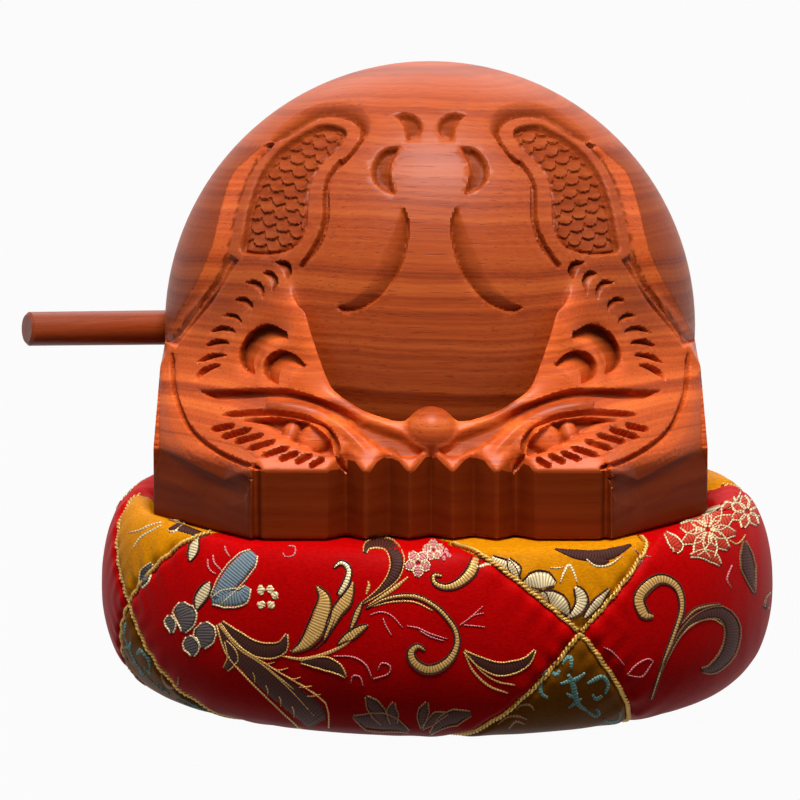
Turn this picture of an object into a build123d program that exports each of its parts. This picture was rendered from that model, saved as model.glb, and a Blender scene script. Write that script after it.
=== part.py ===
from build123d import *
import math
import os

# Wooden fish (slit drum) on a patchwork brocade cushion, with its mallet stowed in the sound slit.
# Millimetres. Origin: centre of the cushion's underside. +X to the viewer's right, +Y to the back, +Z up.

# Cushion: a round pad sewn from twelve squares, four red round the waist, four gold above and four below
CUSHION_RADIUS = 96.0
CUSHION_HEIGHT = 54.5
SEAT_RADIUS = 79.0
BASE_RADIUS = 70.0
WAIST_HEIGHT = 32.0
COVER_THICKNESS = 1.6
PANELS_ROUND = 4
RED_PANEL_AZIMUTH = -20.0
RED_CORNER_RADIUS = 37.0
CORD_WIDTH = 1.6
CORD_THICKNESS = 1.1
CORD_CLEARANCE = 0.1
CORD_END_GAP = 0.8

# Fish body: a hollow dome with a faceted block in front, carved as two heads that meet at a pearl
SEAT_GAP = 0.3
DOME_RADIUS = 75.0
DOME_HALF_DEPTH = 58.0
DOME_CENTRE_Y = 10.0
DOME_CENTRE_HEIGHT = 48.0
WALL = 11.0
CHAMBER_FLOOR = 10.0
FRONT_Y = -70.0
FRONT_HALF_WIDTH = 49.0
FRONT_HEIGHT = 19.0
CORNER_HALF_WIDTH = 77.0
CORNER_Y = -28.0
BLOCK_BACK_HALF_WIDTH = 58.0
BLOCK_BACK_Y = 25.0
BROW_HEIGHT = 40.0
BROW_HALF_WIDTH = 40.0
BROW_SETBACK = 18.0
BROW_CORNER_INSET = 1.5
BROW_CORNER_SETBACK = 14.0
CHEEK_HEIGHT = 72.0
CHEEK_HALF_WIDTH = 30.0
CHEEK_SETBACK = 26.0
CHEEK_CORNER_INSET = 19.0
CHEEK_CORNER_SETBACK = 6.0

# Grip hole between the dome and the bridge of the two heads
GRIP_CENTRE_Y = -22.0
GRIP_BASE_HALF_WIDTH = 39.0
GRIP_BASE_HALF_DEPTH = 36.0
GRIP_TOP_HALF_WIDTH = 44.0
GRIP_TOP_HALF_DEPTH = 40.0
GRIP_TOP_HEIGHT = 80.0

# Pearl between the mouths
PEARL_RADIUS = 7.2
PEARL_Y = -59.0
PEARL_HEIGHT = 27.6
PEARL_TILT = 35.0

# Upright grooves that part the lips and jaws on the front face: place from the middle, half width, depth
LIP_GROOVES = ((0.0, 5.7, 6.0), (11.6, 5.7, 5.5), (23.2, 5.0, 6.0), (47.5, 1.5, 3.0))

# Carving on the front, given for the right half. Each cut lies between an outer and an inner line.
CARVING_DEPTH = 2.2
# On the dome: across and up from the dome's centre
TAIL_PANEL = (
    (38.5, 26.9), (34.4, 32.7), (33.3, 43.7), (28.9, 50.9), (23.2, 57.7), (30.1, 60.1), (40.7, 54.4),
    (48.2, 45.5), (51.5, 35.4), (52.0, 26.6), (46.6, 25.6),
)
TAIL_BORDER = (
    (
        (43.1, 57.1), (35.6, 62.6), (24.9, 65.3), (17.1, 61.9),
        (19.0, 55.6), (26.7, 46.9), (27.7, 38.0), (31.0, 28.6),
    ),
    (
        (43.0, 54.5), (34.3, 59.4), (24.9, 61.6), (19.6, 58.4),
        (25.0, 50.5), (29.1, 41.9), (29.4, 36.9), (31.8, 29.4),
    ),
)
MIDDLE_CUTS = (
    (((10.7, 62.8), (3.5, 62.4), (2.1, 59.9), (6.8, 56.1)), ((10.7, 62.8), (7.1, 58.9), (6.8, 56.1))),
    (((8.2, 55.0), (15.7, 51.3), (16.5, 47.7), (9.6, 42.1)), ((8.2, 55.0), (11.0, 47.3), (9.6, 42.1))),
    (
        ((7.7, 39.8), (6.3, 30.3), (12.6, 16.6), (26.1, 12.2)),
        ((7.7, 39.8), (11.2, 30.5), (16.7, 18.6), (26.1, 12.2)),
    ),
)
# On the heads: across, and up the slope of the brow from its foot
BROW_CUTS = (
    (
        ((64.7, 38.4), (46.9, 29.6), (32.8, 24.4), (21.5, 18.9)),
        ((64.7, 38.4), (52.2, 28.0), (37.9, 22.1), (21.5, 14.4)),
    ),
    (((50.9, 20.0), (39.5, 17.3), (29.1, 13.1), (25.7, 4.7)), ((50.9, 20.0), (39.1, 10.2), (25.7, 4.7))),
)
# On the cheeks: along the brow's edge from its front end, and up the cheek
CHEEK_CUTS = (
    (
        ((4.0, 14.4), (17.4, 13.2), (20.2, 5.6), (12.0, 1.3)),
        ((4.0, 14.4), (8.4, 11.4), (13.4, 6.3), (12.0, 1.3)),
    ),
    (((-3.4, 6.7), (4.8, 9.2), (9.8, 4.1), (1.5, -0.5)), ((-3.4, 6.7), (-0.3, 5.2), (1.5, -0.5))),
)

# Sound slit, cut from the back to both sides, with a drilled hole at each end
SLIT_WIDTH = 11.8
SLIT_FRONT_Y = 19.0
SLIT_HEIGHT = 46.7
SLIT_TILT = 6.0
SLIT_END_RADIUS = 8.0

# Mallet: a tapered handle with a turned head, lying across the slit
MALLET_YAW = 24.0
MALLET_Y = 20.0
HANDLE_LENGTH = 160.5
HEAD_STANDOFF = 8.4
HANDLE_END_RADIUS = 4.8
HANDLE_NECK_RADIUS = 5.3
HANDLE_END_ROUND = 0.8
HANDLE_REST_GAP = 0.3
HEAD_LENGTH = 34.0
HEAD_RADIUS = 12.0
HEAD_FACE_RADIUS = 7.0
TENON_RADIUS = 3.5
TENON_LENGTH = 22.0
TENON_CLEARANCE = 0.05

# Places that follow from the sizes above
FISH_BASE_Z = CUSHION_HEIGHT + SEAT_GAP
DOME_CENTRE = Vector(0, DOME_CENTRE_Y, FISH_BASE_Z + DOME_CENTRE_HEIGHT)
FAR = 4 * CUSHION_RADIUS


def cushion_solid(inset):
    """The cushion's round, crowned form, drawn in by inset all over."""
    radius = CUSHION_RADIUS - inset
    low, high = inset, CUSHION_HEIGHT - inset
    base = (BASE_RADIUS, low)
    waist = (radius, WAIST_HEIGHT)
    seat = (SEAT_RADIUS, high)
    lower_side = EllipticalCenterArc(
        (BASE_RADIUS, WAIST_HEIGHT), radius - BASE_RADIUS, WAIST_HEIGHT - low, 270, arc_size=90
    )
    upper_side = EllipticalCenterArc(
        (SEAT_RADIUS, WAIST_HEIGHT), radius - SEAT_RADIUS, high - WAIST_HEIGHT, 0, arc_size=90
    )
    outline = [
        Line((0, low), base),
        lower_side,
        upper_side,
        Line(seat, (0, high)),
        Line((0, high), (0, low)),
    ]
    profile = Plane.XZ * make_face(outline)
    return revolve(profile, Axis.Z)


def azimuth_direction(azimuth):
    """Level direction at an azimuth, measured from the front (-Y) towards +X, in degrees."""
    turn = math.radians(azimuth)
    return Vector(math.sin(turn), -math.cos(turn), 0)


WAIST_CENTRE = Vector(0, 0, WAIST_HEIGHT)
HALF_PANEL = 180.0 / PANELS_ROUND


def seam_plane(side, rise):
    """Plane of one edge of the first red square: side -1 or +1 of its middle, rise +1 above or -1 below."""
    crossing = azimuth_direction(RED_PANEL_AZIMUTH + side * HALF_PANEL)
    corner_rise = CUSHION_HEIGHT - WAIST_HEIGHT if rise > 0 else -WAIST_HEIGHT
    corner = azimuth_direction(RED_PANEL_AZIMUTH) * RED_CORNER_RADIUS + Vector(0, 0, corner_rise)
    normal = crossing.cross(corner)
    inside = azimuth_direction(RED_PANEL_AZIMUTH)
    if normal.dot(inside) < 0:
        normal = normal * -1
    return Plane(origin=WAIST_CENTRE, z_dir=normal)


def upright_plane(azimuth, towards):
    """Plane through the cushion's axis at an azimuth, facing the azimuth named by towards."""
    along = azimuth_direction(azimuth)
    normal = Vector(0, 0, 1).cross(along)
    if normal.dot(azimuth_direction(towards)) < 0:
        normal = normal * -1
    return Plane(origin=WAIST_CENTRE, z_dir=normal)


def keep_side(solid, *planes):
    """What is left of a solid on the positive side of every plane."""
    for plane in planes:
        solid = split(solid, bisect_by=plane, keep=Keep.TOP)
    return solid


def flipped(plane):
    return Plane(origin=plane.origin, z_dir=plane.z_dir * -1)


def shifted(plane, distance):
    return Plane(origin=plane.origin + plane.z_dir * distance, z_dir=plane.z_dir)


def red_square(cover, margin):
    """The first red square of a cover, its edges margin short of the seams."""
    edges = [seam_plane(side, rise) for side in (-1, 1) for rise in (-1, 1)]
    return keep_side(cover, *(shifted(edge, margin) for edge in edges))


def gold_square(cover, margin, rise):
    """The gold square above or below the seam crossing that follows the first red square."""
    middle = RED_PANEL_AZIMUTH + HALF_PANEL
    start = upright_plane(RED_PANEL_AZIMUTH, middle)
    end = upright_plane(RED_PANEL_AZIMUTH + 2 * HALF_PANEL, middle)
    red_edge = flipped(seam_plane(1, rise))
    turn = Rotation(0, 0, 2 * HALF_PANEL)
    next_seam = seam_plane(-1, rise)
    next_normal = (turn * Location(next_seam.z_dir)).position
    next_edge = Plane(origin=WAIST_CENTRE, z_dir=next_normal * -1)
    level = Plane(origin=WAIST_CENTRE, z_dir=(0, 0, rise))
    return keep_side(cover, start, end, level, shifted(red_edge, margin), shifted(next_edge, margin))


def seam_cord(layer, side, rise):
    """One stretch of gold cord, laid in the channel along an edge of the first red square."""
    seam = seam_plane(side, rise)
    crossing = RED_PANEL_AZIMUTH + side * HALF_PANEL
    slab = (shifted(seam, -CORD_WIDTH / 2), flipped(shifted(seam, CORD_WIDTH / 2)))
    from_middle = upright_plane(RED_PANEL_AZIMUTH, crossing)
    to_crossing = upright_plane(crossing, RED_PANEL_AZIMUTH)
    level = Plane(origin=WAIST_CENTRE, z_dir=(0, 0, rise))
    ends = (shifted(from_middle, CORD_END_GAP), shifted(to_crossing, CORD_END_GAP))
    return keep_side(layer, *slab, *ends, level)


def outline_wire(half_points, height):
    """Closed outline at a height, mirrored about the middle plane from its right half, front to back."""
    right = [Vector(x, y, height) for x, y in half_points]
    left = [Vector(-x, y, height) for x, y in reversed(half_points)]
    return Polyline(*right, *left, close=True)


def head_block():
    """Faceted block in front of the dome, in four levels from the base up to the cheeks."""
    back = (BLOCK_BACK_HALF_WIDTH, BLOCK_BACK_Y)
    foot = [(FRONT_HALF_WIDTH, FRONT_Y), (CORNER_HALF_WIDTH, CORNER_Y), (CORNER_HALF_WIDTH, 0), back]
    brow_corner = CORNER_HALF_WIDTH - BROW_CORNER_INSET
    brow = [
        (BROW_HALF_WIDTH, FRONT_Y + BROW_SETBACK),
        (brow_corner, CORNER_Y + BROW_CORNER_SETBACK),
        (brow_corner, 0),
        back,
    ]
    cheek_corner = CORNER_HALF_WIDTH - CHEEK_CORNER_INSET
    cheek = [
        (CHEEK_HALF_WIDTH, FRONT_Y + CHEEK_SETBACK),
        (cheek_corner, CORNER_Y + CHEEK_CORNER_SETBACK),
        (DOME_RADIUS * math.sqrt(1 - ((CHEEK_HEIGHT - DOME_CENTRE_HEIGHT) / DOME_RADIUS) ** 2) - 1, 0),
        back,
    ]
    levels = ((0, foot), (FRONT_HEIGHT, foot), (BROW_HEIGHT, brow), (CHEEK_HEIGHT, cheek))
    sections = [make_face(outline_wire(points, FISH_BASE_Z + height)) for height, points in levels]
    return loft(sections, ruled=True)


def ellipsoid(radius, half_depth):
    """Solid round about the Y axis through the dome's centre."""
    return Location(DOME_CENTRE) * scale(Sphere(radius), by=(1, half_depth / radius, 1))


def grip_hole():
    base = Location((0, GRIP_CENTRE_Y, FISH_BASE_Z - SEAT_GAP)) * Ellipse(
        GRIP_BASE_HALF_WIDTH, GRIP_BASE_HALF_DEPTH
    )
    top = Location((0, GRIP_CENTRE_Y, FISH_BASE_Z + GRIP_TOP_HEIGHT)) * Ellipse(
        GRIP_TOP_HALF_WIDTH, GRIP_TOP_HALF_DEPTH
    )
    return loft([base, top])


def lip_groove(place, half_width, depth):
    """Upright V groove in the front face."""
    outline = make_face(
        Polyline(
            (place - half_width, FRONT_Y - depth),
            (place - half_width, FRONT_Y),
            (place, FRONT_Y + depth),
            (place + half_width, FRONT_Y),
            (place + half_width, FRONT_Y - depth),
            close=True,
        )
    )
    return Location((0, 0, FISH_BASE_Z - SEAT_GAP)) * extrude(outline, BROW_HEIGHT)


SLIT_PLANE = Plane(
    origin=(0, SLIT_FRONT_Y, FISH_BASE_Z + SLIT_HEIGHT),
    x_dir=(1, 0, 0),
    z_dir=(0, math.sin(math.radians(SLIT_TILT)), math.cos(math.radians(SLIT_TILT))),
)


def sound_slit():
    """Slot from its front end to the back of the dome, and the drilled hole along its front end."""
    slot = Box(2 * FAR, FAR, SLIT_WIDTH, align=(Align.CENTER, Align.MIN, Align.CENTER))
    end_hole = Rotation(0, 90, 0) * Cylinder(SLIT_END_RADIUS, 2 * FAR)
    return SLIT_PLANE.location * (slot + end_hole)


def sunk_face(outer, inner):
    """Face between an outer and an inner line."""
    edges = [Spline(*outer), Spline(*inner)]
    for end in (0, -1):
        if outer[end] != inner[end]:
            edges.append(Line(outer[end], inner[end]))
    return make_face(edges)


def both_sides(solid):
    return [solid, mirror(solid, about=Plane.YZ)]


def carve_dome(dome):
    """The dome with its tails and middle cuts sunk to an even depth."""
    drawing = Plane(origin=DOME_CENTRE, x_dir=(1, 0, 0), z_dir=(0, -1, 0))
    floor = ellipsoid(DOME_RADIUS - CARVING_DEPTH, DOME_HALF_DEPTH - CARVING_DEPTH)
    faces = [make_face(Spline(*TAIL_PANEL, periodic=True)), sunk_face(*TAIL_BORDER)]
    faces += [sunk_face(*cut) for cut in MIDDLE_CUTS]
    for face in faces:
        prism = extrude(drawing * face, DOME_HALF_DEPTH + CARVING_DEPTH, dir=(0, -1, 0))
        for cut in both_sides(prism - floor):
            dome -= cut
    return dome


def carve_heads(block):
    """The block with the brows, eyes and cheek curls sunk to an even depth."""
    uncut = head_block()
    slope = Vector(0, BROW_SETBACK, BROW_HEIGHT - FRONT_HEIGHT)
    brow_foot = Vector(0, FRONT_Y, FISH_BASE_Z + FRONT_HEIGHT)
    brow = Plane(origin=brow_foot, x_dir=(1, 0, 0), z_dir=Vector(1, 0, 0).cross(slope))
    brow_end = Vector(BROW_HALF_WIDTH, FRONT_Y + BROW_SETBACK, FISH_BASE_Z + BROW_HEIGHT)
    brow_corner = Vector(
        CORNER_HALF_WIDTH - BROW_CORNER_INSET, CORNER_Y + BROW_CORNER_SETBACK, FISH_BASE_Z + BROW_HEIGHT
    )
    cheek_end = Vector(CHEEK_HALF_WIDTH, FRONT_Y + CHEEK_SETBACK, FISH_BASE_Z + CHEEK_HEIGHT)
    edge = brow_corner - brow_end
    cheek = Plane(origin=brow_end, x_dir=edge, z_dir=edge.cross(cheek_end - brow_end))
    for plane, cuts in ((brow, BROW_CUTS), (cheek, CHEEK_CUTS)):
        floor = Location(plane.z_dir * -CARVING_DEPTH) * uncut
        for cut in cuts:
            prism = extrude(plane * sunk_face(*cut), 6 * CARVING_DEPTH, dir=plane.z_dir, both=True)
            for part in both_sides(prism - floor):
                block -= part
    return block


def fish_body():
    dome = ellipsoid(DOME_RADIUS, DOME_HALF_DEPTH)
    block = head_block() - grip_hole()
    for place, half_width, depth in LIP_GROOVES:
        block -= lip_groove(place, half_width, depth)
        if place:
            block -= lip_groove(-place, half_width, depth)
    base = Plane(origin=(0, 0, FISH_BASE_Z))
    body = keep_side(carve_dome(dome), base) + carve_heads(block)
    chamber_floor = Plane(origin=(0, 0, FISH_BASE_Z + CHAMBER_FLOOR))
    chamber = keep_side(ellipsoid(DOME_RADIUS - WALL, DOME_HALF_DEPTH - WALL), chamber_floor)
    pearl_place = Location((0, PEARL_Y, FISH_BASE_Z + PEARL_HEIGHT), (PEARL_TILT, 0, 0))
    pearl = pearl_place * Sphere(PEARL_RADIUS)
    return body + pearl - chamber - sound_slit()


HANDLE_TURN = math.radians(MALLET_YAW)
HANDLE_DIRECTION = Vector(math.cos(HANDLE_TURN), math.sin(HANDLE_TURN), 0)


def back_wall_reach():
    """Distance along the mallet from the dome's side wall to where it comes out of the dome's back."""
    start_y = MALLET_Y - DOME_CENTRE_Y
    a = (HANDLE_DIRECTION.X / DOME_RADIUS) ** 2 + (HANDLE_DIRECTION.Y / DOME_HALF_DEPTH) ** 2
    b = start_y * HANDLE_DIRECTION.Y / DOME_HALF_DEPTH**2 - HANDLE_DIRECTION.X / DOME_RADIUS
    c = (start_y / DOME_HALF_DEPTH) ** 2
    return (math.sqrt(b * b - a * c) - b) / a


def mallet_plane():
    """Frame of the mallet: origin at the handle's free end, z along the handle towards the head."""
    rest = HANDLE_NECK_RADIUS + HANDLE_REST_GAP - SLIT_WIDTH / 2
    at_wall = Vector(-DOME_RADIUS, MALLET_Y - SLIT_FRONT_Y, rest)
    neck = at_wall + HANDLE_DIRECTION * (back_wall_reach() + HEAD_STANDOFF)
    end = neck - HANDLE_DIRECTION * HANDLE_LENGTH
    local = Plane(origin=end, x_dir=(0, 0, 1), z_dir=HANDLE_DIRECTION)
    return Plane(SLIT_PLANE.location * local.location)


def mallet_handle():
    shaft = Polyline(
        (0, 0),
        (HANDLE_END_RADIUS - HANDLE_END_ROUND, 0),
        (HANDLE_END_RADIUS, HANDLE_END_ROUND),
        (HANDLE_NECK_RADIUS, HANDLE_LENGTH),
        (TENON_RADIUS, HANDLE_LENGTH),
        (TENON_RADIUS, HANDLE_LENGTH + TENON_LENGTH),
        (0, HANDLE_LENGTH + TENON_LENGTH),
        close=True,
    )
    return mallet_plane().location * revolve(Plane.XZ * make_face(shaft), Axis.Z)


def mallet_head():
    """Olive-shaped head with flat ends, bored for the handle's tenon."""
    middle = HANDLE_LENGTH + HEAD_LENGTH / 2
    side = ThreePointArc(
        (HEAD_FACE_RADIUS, HANDLE_LENGTH),
        (HEAD_RADIUS, middle),
        (HEAD_FACE_RADIUS, HANDLE_LENGTH + HEAD_LENGTH),
    )
    bore = TENON_RADIUS + TENON_CLEARANCE
    bore_end = HANDLE_LENGTH + TENON_LENGTH + TENON_CLEARANCE
    inside = Polyline(
        (HEAD_FACE_RADIUS, HANDLE_LENGTH + HEAD_LENGTH),
        (0, HANDLE_LENGTH + HEAD_LENGTH),
        (0, bore_end),
        (bore, bore_end),
        (bore, HANDLE_LENGTH),
        (HEAD_FACE_RADIUS, HANDLE_LENGTH),
    )
    return mallet_plane().location * revolve(Plane.XZ * make_face([side, *inside.edges()]), Axis.Z)


def cushion_pieces():
    """Filling, twelve squares and the gold cords, as a dict of node name to shape."""
    filling = cushion_solid(COVER_THICKNESS)
    cover = cushion_solid(0) - filling
    cord_layer = cushion_solid(COVER_THICKNESS - CORD_THICKNESS) - filling
    margin = CORD_WIDTH / 2 + CORD_CLEARANCE
    red = red_square(cover, margin)
    gold_above = gold_square(cover, margin, 1)
    gold_below = gold_square(cover, margin, -1)
    cords = [seam_cord(cord_layer, side, rise) for side in (-1, 1) for rise in (-1, 1)]
    pieces = {"cushion_filling": filling}
    for index, place in enumerate(("front", "right", "back", "left")):
        turn = Rotation(0, 0, index * 2 * HALF_PANEL)
        pieces[f"red_square_{place}"] = turn * red
        pieces[f"gold_top_square_{place}"] = turn * gold_above
        pieces[f"gold_base_square_{place}"] = turn * gold_below
        pieces[f"seam_cord_{place}"] = Compound([turn * solid for cord in cords for solid in cord.solids()])
    return pieces


def main():
    os.makedirs("parts", exist_ok=True)
    pieces = cushion_pieces()
    pieces["fish_body"] = fish_body()
    pieces["mallet_handle"] = mallet_handle()
    pieces["mallet_head"] = mallet_head()
    for name, shape in pieces.items():
        export_step(shape, f"parts/{name}.step")
        print(name, len(shape.solids()), round(shape.volume))


main()
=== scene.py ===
# %% [markdown]
# # A wooden fish on its brocade cushion
# This lesson dresses a slit drum: a hollow dome of red-brown wood with two fish heads that meet at a
# pearl, a mallet that lies in the sound slit, and a round cushion sewn from twelve brocade squares.
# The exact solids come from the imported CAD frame. Each cell makes one piece or one finish on top of it.

# %% Load the frame
import itertools
import math

import bmesh
import bpy
import numpy as np
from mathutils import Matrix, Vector
from mathutils.bvhtree import BVHTree


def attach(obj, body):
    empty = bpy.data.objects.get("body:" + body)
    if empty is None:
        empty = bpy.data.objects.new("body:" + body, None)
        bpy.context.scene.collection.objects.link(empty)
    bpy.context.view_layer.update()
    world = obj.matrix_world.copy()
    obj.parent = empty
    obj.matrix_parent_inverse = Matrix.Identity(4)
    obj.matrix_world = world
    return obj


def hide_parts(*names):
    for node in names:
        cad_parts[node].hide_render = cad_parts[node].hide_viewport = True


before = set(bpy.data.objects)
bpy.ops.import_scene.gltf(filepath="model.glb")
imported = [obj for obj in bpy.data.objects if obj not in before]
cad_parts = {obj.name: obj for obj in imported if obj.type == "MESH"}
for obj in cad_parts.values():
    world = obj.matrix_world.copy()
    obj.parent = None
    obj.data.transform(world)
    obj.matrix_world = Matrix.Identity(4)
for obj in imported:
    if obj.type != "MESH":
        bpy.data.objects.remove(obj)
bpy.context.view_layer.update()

MM = 0.001
scene = bpy.context.scene

# %% [markdown]
# ## Camera
# The drum is seen from the front and a little from above, from some way off, so that near and far
# parts are drawn at nearly the same scale. A long lens on a distant camera gives that.

# %% Camera
VIEW_RISE = math.radians(8.0)
VIEW_DISTANCE = 1.8
VIEW_UNIT = 0.283 * MM
FRAME_UNITS = 800
AIM_LEFT, AIM_DOWN = 30, 74
SENSOR_WIDTH = 36.0
DOME_CENTRE = Vector((0.0, 10.0, 102.8)) * MM
VIEW_RIGHT = Vector((1, 0, 0))
VIEW_FORWARD = Vector((0, math.cos(VIEW_RISE), -math.sin(VIEW_RISE)))
VIEW_UP = Vector((0, math.sin(VIEW_RISE), math.cos(VIEW_RISE)))
VIEW_AIM = DOME_CENTRE - VIEW_RIGHT * (AIM_LEFT * VIEW_UNIT) - VIEW_UP * (AIM_DOWN * VIEW_UNIT)
VIEW_FROM = VIEW_AIM - VIEW_FORWARD * VIEW_DISTANCE

camera_data = bpy.data.cameras.new("camera")
camera_data.sensor_fit = "HORIZONTAL"
camera_data.sensor_width = SENSOR_WIDTH
camera_data.lens = SENSOR_WIDTH * VIEW_DISTANCE / (FRAME_UNITS * VIEW_UNIT)
camera_data.clip_end = 20.0
camera = bpy.data.objects.new("camera", camera_data)
scene.collection.objects.link(camera)
camera.location = VIEW_FROM
camera.rotation_euler = (math.pi / 2 - VIEW_RISE, 0, 0)
scene.camera = camera
print("camera lens", round(camera_data.lens, 1), "mm")

# %% [markdown]
# ## Floor and light
# A white studio: a broad floor and a room that stay white to the camera, one large soft lamp overhead
# that leaves the upright faces dark, a lamp behind for the sheen on top, and a weak one at each side.

# %% Floor and light
FLOOR_SIZE = 6.0
FLOOR_GREY = (0.06, 0.06, 0.06)
FLOOR_WHITE = 0.96
ROOM_LIGHT = 0.05
# Each lamp: name, place, aim, size in metres, watts.
LAMPS = (
    ("top_lamp", (0.03, -0.55, 1.25), (0, 0, 0.1), 0.5, 22),
    ("back_lamp", (0, 0.75, 0.95), (0, 0, 0.12), 0.8, 4),
    ("left_lamp", (-0.9, -0.2, 0.9), (0, 0, 0.1), 0.5, 2),
    ("right_lamp", (0.9, -0.2, 0.9), (0, 0, 0.1), 0.5, 2),
)


def new_material(name):
    """Empty node material with its output and a principled shader."""
    material = bpy.data.materials.new(name)
    material.use_nodes = True
    return material, material.node_tree.nodes, material.node_tree.links


def white_for_camera(nodes, links, shader, share):
    """Mixes a shader with plain white for the eye and for reflections, so the backdrop reads as white."""
    path = nodes.new("ShaderNodeLightPath")
    seen = path.outputs["Is Camera Ray"]
    for ray in ("Is Glossy Ray", "Is Transmission Ray"):
        either = nodes.new("ShaderNodeMath")
        either.operation = "MAXIMUM"
        links.new(seen, either.inputs[0])
        links.new(path.outputs[ray], either.inputs[1])
        seen = either.outputs[0]
    weight = nodes.new("ShaderNodeMath")
    weight.operation = "MULTIPLY"
    weight.inputs[1].default_value = share
    links.new(seen, weight.inputs[0])
    white = nodes.new("ShaderNodeEmission")
    mix = nodes.new("ShaderNodeMixShader")
    links.new(weight.outputs[0], mix.inputs[0])
    links.new(shader, mix.inputs[1])
    links.new(white.outputs[0], mix.inputs[2])
    return mix.outputs[0]


floor_mesh = bpy.data.meshes.new("floor")
bm = bmesh.new()
bmesh.ops.create_grid(bm, x_segments=1, y_segments=1, size=FLOOR_SIZE)
bm.to_mesh(floor_mesh)
bm.free()
floor = bpy.data.objects.new("floor", floor_mesh)
scene.collection.objects.link(floor)
floor_material, nodes, links = new_material("floor")
nodes["Principled BSDF"].inputs["Base Color"].default_value = (*FLOOR_GREY, 1)
nodes["Principled BSDF"].inputs["Roughness"].default_value = 0.9
surface = white_for_camera(nodes, links, nodes["Principled BSDF"].outputs[0], FLOOR_WHITE)
links.new(surface, nodes["Material Output"].inputs["Surface"])
floor_mesh.materials.append(floor_material)

world = bpy.data.worlds.new("room")
scene.world = world
world.use_nodes = True
nodes, links = world.node_tree.nodes, world.node_tree.links
nodes["Background"].inputs["Color"].default_value = (1, 1, 1, 1)
nodes["Background"].inputs["Strength"].default_value = ROOM_LIGHT
surface = white_for_camera(nodes, links, nodes["Background"].outputs[0], 1.0)
links.new(surface, nodes["World Output"].inputs["Surface"])


def soft_lamp(name, place, aim, size, watts):
    """Square area lamp that faces a point."""
    data = bpy.data.lights.new(name, "AREA")
    data.size = size
    data.energy = watts
    lamp = bpy.data.objects.new(name, data)
    scene.collection.objects.link(lamp)
    lamp.location = place
    lamp.rotation_euler = (Vector(aim) - Vector(place)).to_track_quat("-Z", "Y").to_euler()


for lamp in LAMPS:
    soft_lamp(*lamp)
scene.view_settings.view_transform = "Standard"

# %% [markdown]
# ## Drawing tools for the carver
# The carver draws the design on the front of the block and cuts along the lines. The same is done
# here: each point of the surface is looked up on a drawing, seen from the front, whose left half is
# mirrored to the right. Smooth lines through a few chosen points say where the gouge goes. One drawing
# unit is about a quarter of a millimetre. The drawing's middle line is at 430.

# %% Drawing tools
DRAWING_MIDDLE = 430.0


def on_drawing(points):
    """Drawing place of points in space, folded on to the left half."""
    away = points - np.array(VIEW_FROM)
    depth = away @ np.array(VIEW_FORWARD)
    scale = VIEW_DISTANCE / (depth * VIEW_UNIT)
    across = FRAME_UNITS / 2 + (away @ np.array(VIEW_RIGHT)) * scale
    down = FRAME_UNITS / 2 - (away @ np.array(VIEW_UP)) * scale
    return np.column_stack((DRAWING_MIDDLE - np.abs(across - DRAWING_MIDDLE), down))


def smooth_line(points, steps=6):
    """Catmull-Rom line through a few chosen points."""
    p = np.array(points, float)
    p = np.vstack((2 * p[0] - p[1], p, 2 * p[-1] - p[-2]))
    t = np.linspace(0, 1, steps, endpoint=False)[:, None]
    spans = []
    for a, b, c, d in zip(p[:-3], p[1:-2], p[2:-1], p[3:]):
        spans.append(0.5 * (2 * b + (c - a) * t + (2 * a - 5 * b + 4 * c - d) * t**2
                            + (3 * b - a - 3 * c + d) * t**3))
    return np.vstack(spans + [p[-2][None]])


def near_line(places, line):
    """Distance of places to a line, and how far along the line the nearest point is, from 0 to 1."""
    best = np.full(len(places), 1e9)
    along = np.zeros(len(places))
    lengths = np.linalg.norm(np.diff(line, axis=0), axis=1)
    total = lengths.sum()
    done = 0.0
    for start, end, length in zip(line[:-1], line[1:], lengths):
        step = (end - start) / max(length, 1e-9)
        s = np.clip((places - start) @ step, 0, length)
        gap = np.linalg.norm(places - start - s[:, None] * step, axis=1)
        closer = gap < best
        best[closer] = gap[closer]
        along[closer] = (done + s[closer]) / total
        done += length
    return best, along


def inside_outline(places, outline):
    """True for places inside a closed outline, by counting crossings."""
    inside = np.zeros(len(places), bool)
    x, y = places[:, 0], places[:, 1]
    for (x0, y0), (x1, y1) in zip(outline, np.roll(outline, -1, axis=0)):
        if y0 == y1:
            continue
        crosses = (y0 > y) != (y1 > y)
        inside ^= crosses & (x < (x1 - x0) * (y - y0) / (y1 - y0) + x0)
    return inside


def close_by(places, line, reach):
    """Index of the places within reach of a line's box."""
    low, high = line.min(axis=0) - reach, line.max(axis=0) + reach
    return np.flatnonzero(np.all((places > low) & (places < high), axis=1))


def ease(value):
    """Smooth step from 0 to 1."""
    value = np.clip(value, 0, 1)
    return value * value * (3 - 2 * value)


def gouge(depth, places, points, width, cut, taper=0.0):
    """A round-bottomed groove along a line; taper draws its ends to a point."""
    line = smooth_line(points)
    index = close_by(places, line, width)
    gap, along = near_line(places[index], line)
    fade = np.ones(len(index))
    if taper:
        fade = np.clip(np.minimum(along, 1 - along) / taper, 0.0, 1) ** 0.6
    half = np.maximum(width / 2 * fade, 0.3)
    groove = cut * fade * ease(1.15 * (1 - (gap / half) ** 2))
    depth[index] = np.maximum(depth[index], groove)


def hollow(depth, places, outer, inner, cut, wall=5.0):
    """A cut between an outer and an inner line, steep at its edges and flat in the middle."""
    outline = np.vstack((smooth_line(outer), smooth_line(inner)[::-1]))
    index = close_by(places, outline, 2)
    inside = inside_outline(places[index], outline)
    gap, _ = near_line(places[index], np.vstack((outline, outline[:1])))
    depth[index] = np.maximum(depth[index], np.where(inside, cut * ease(gap / wall + 0.15), 0))


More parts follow.
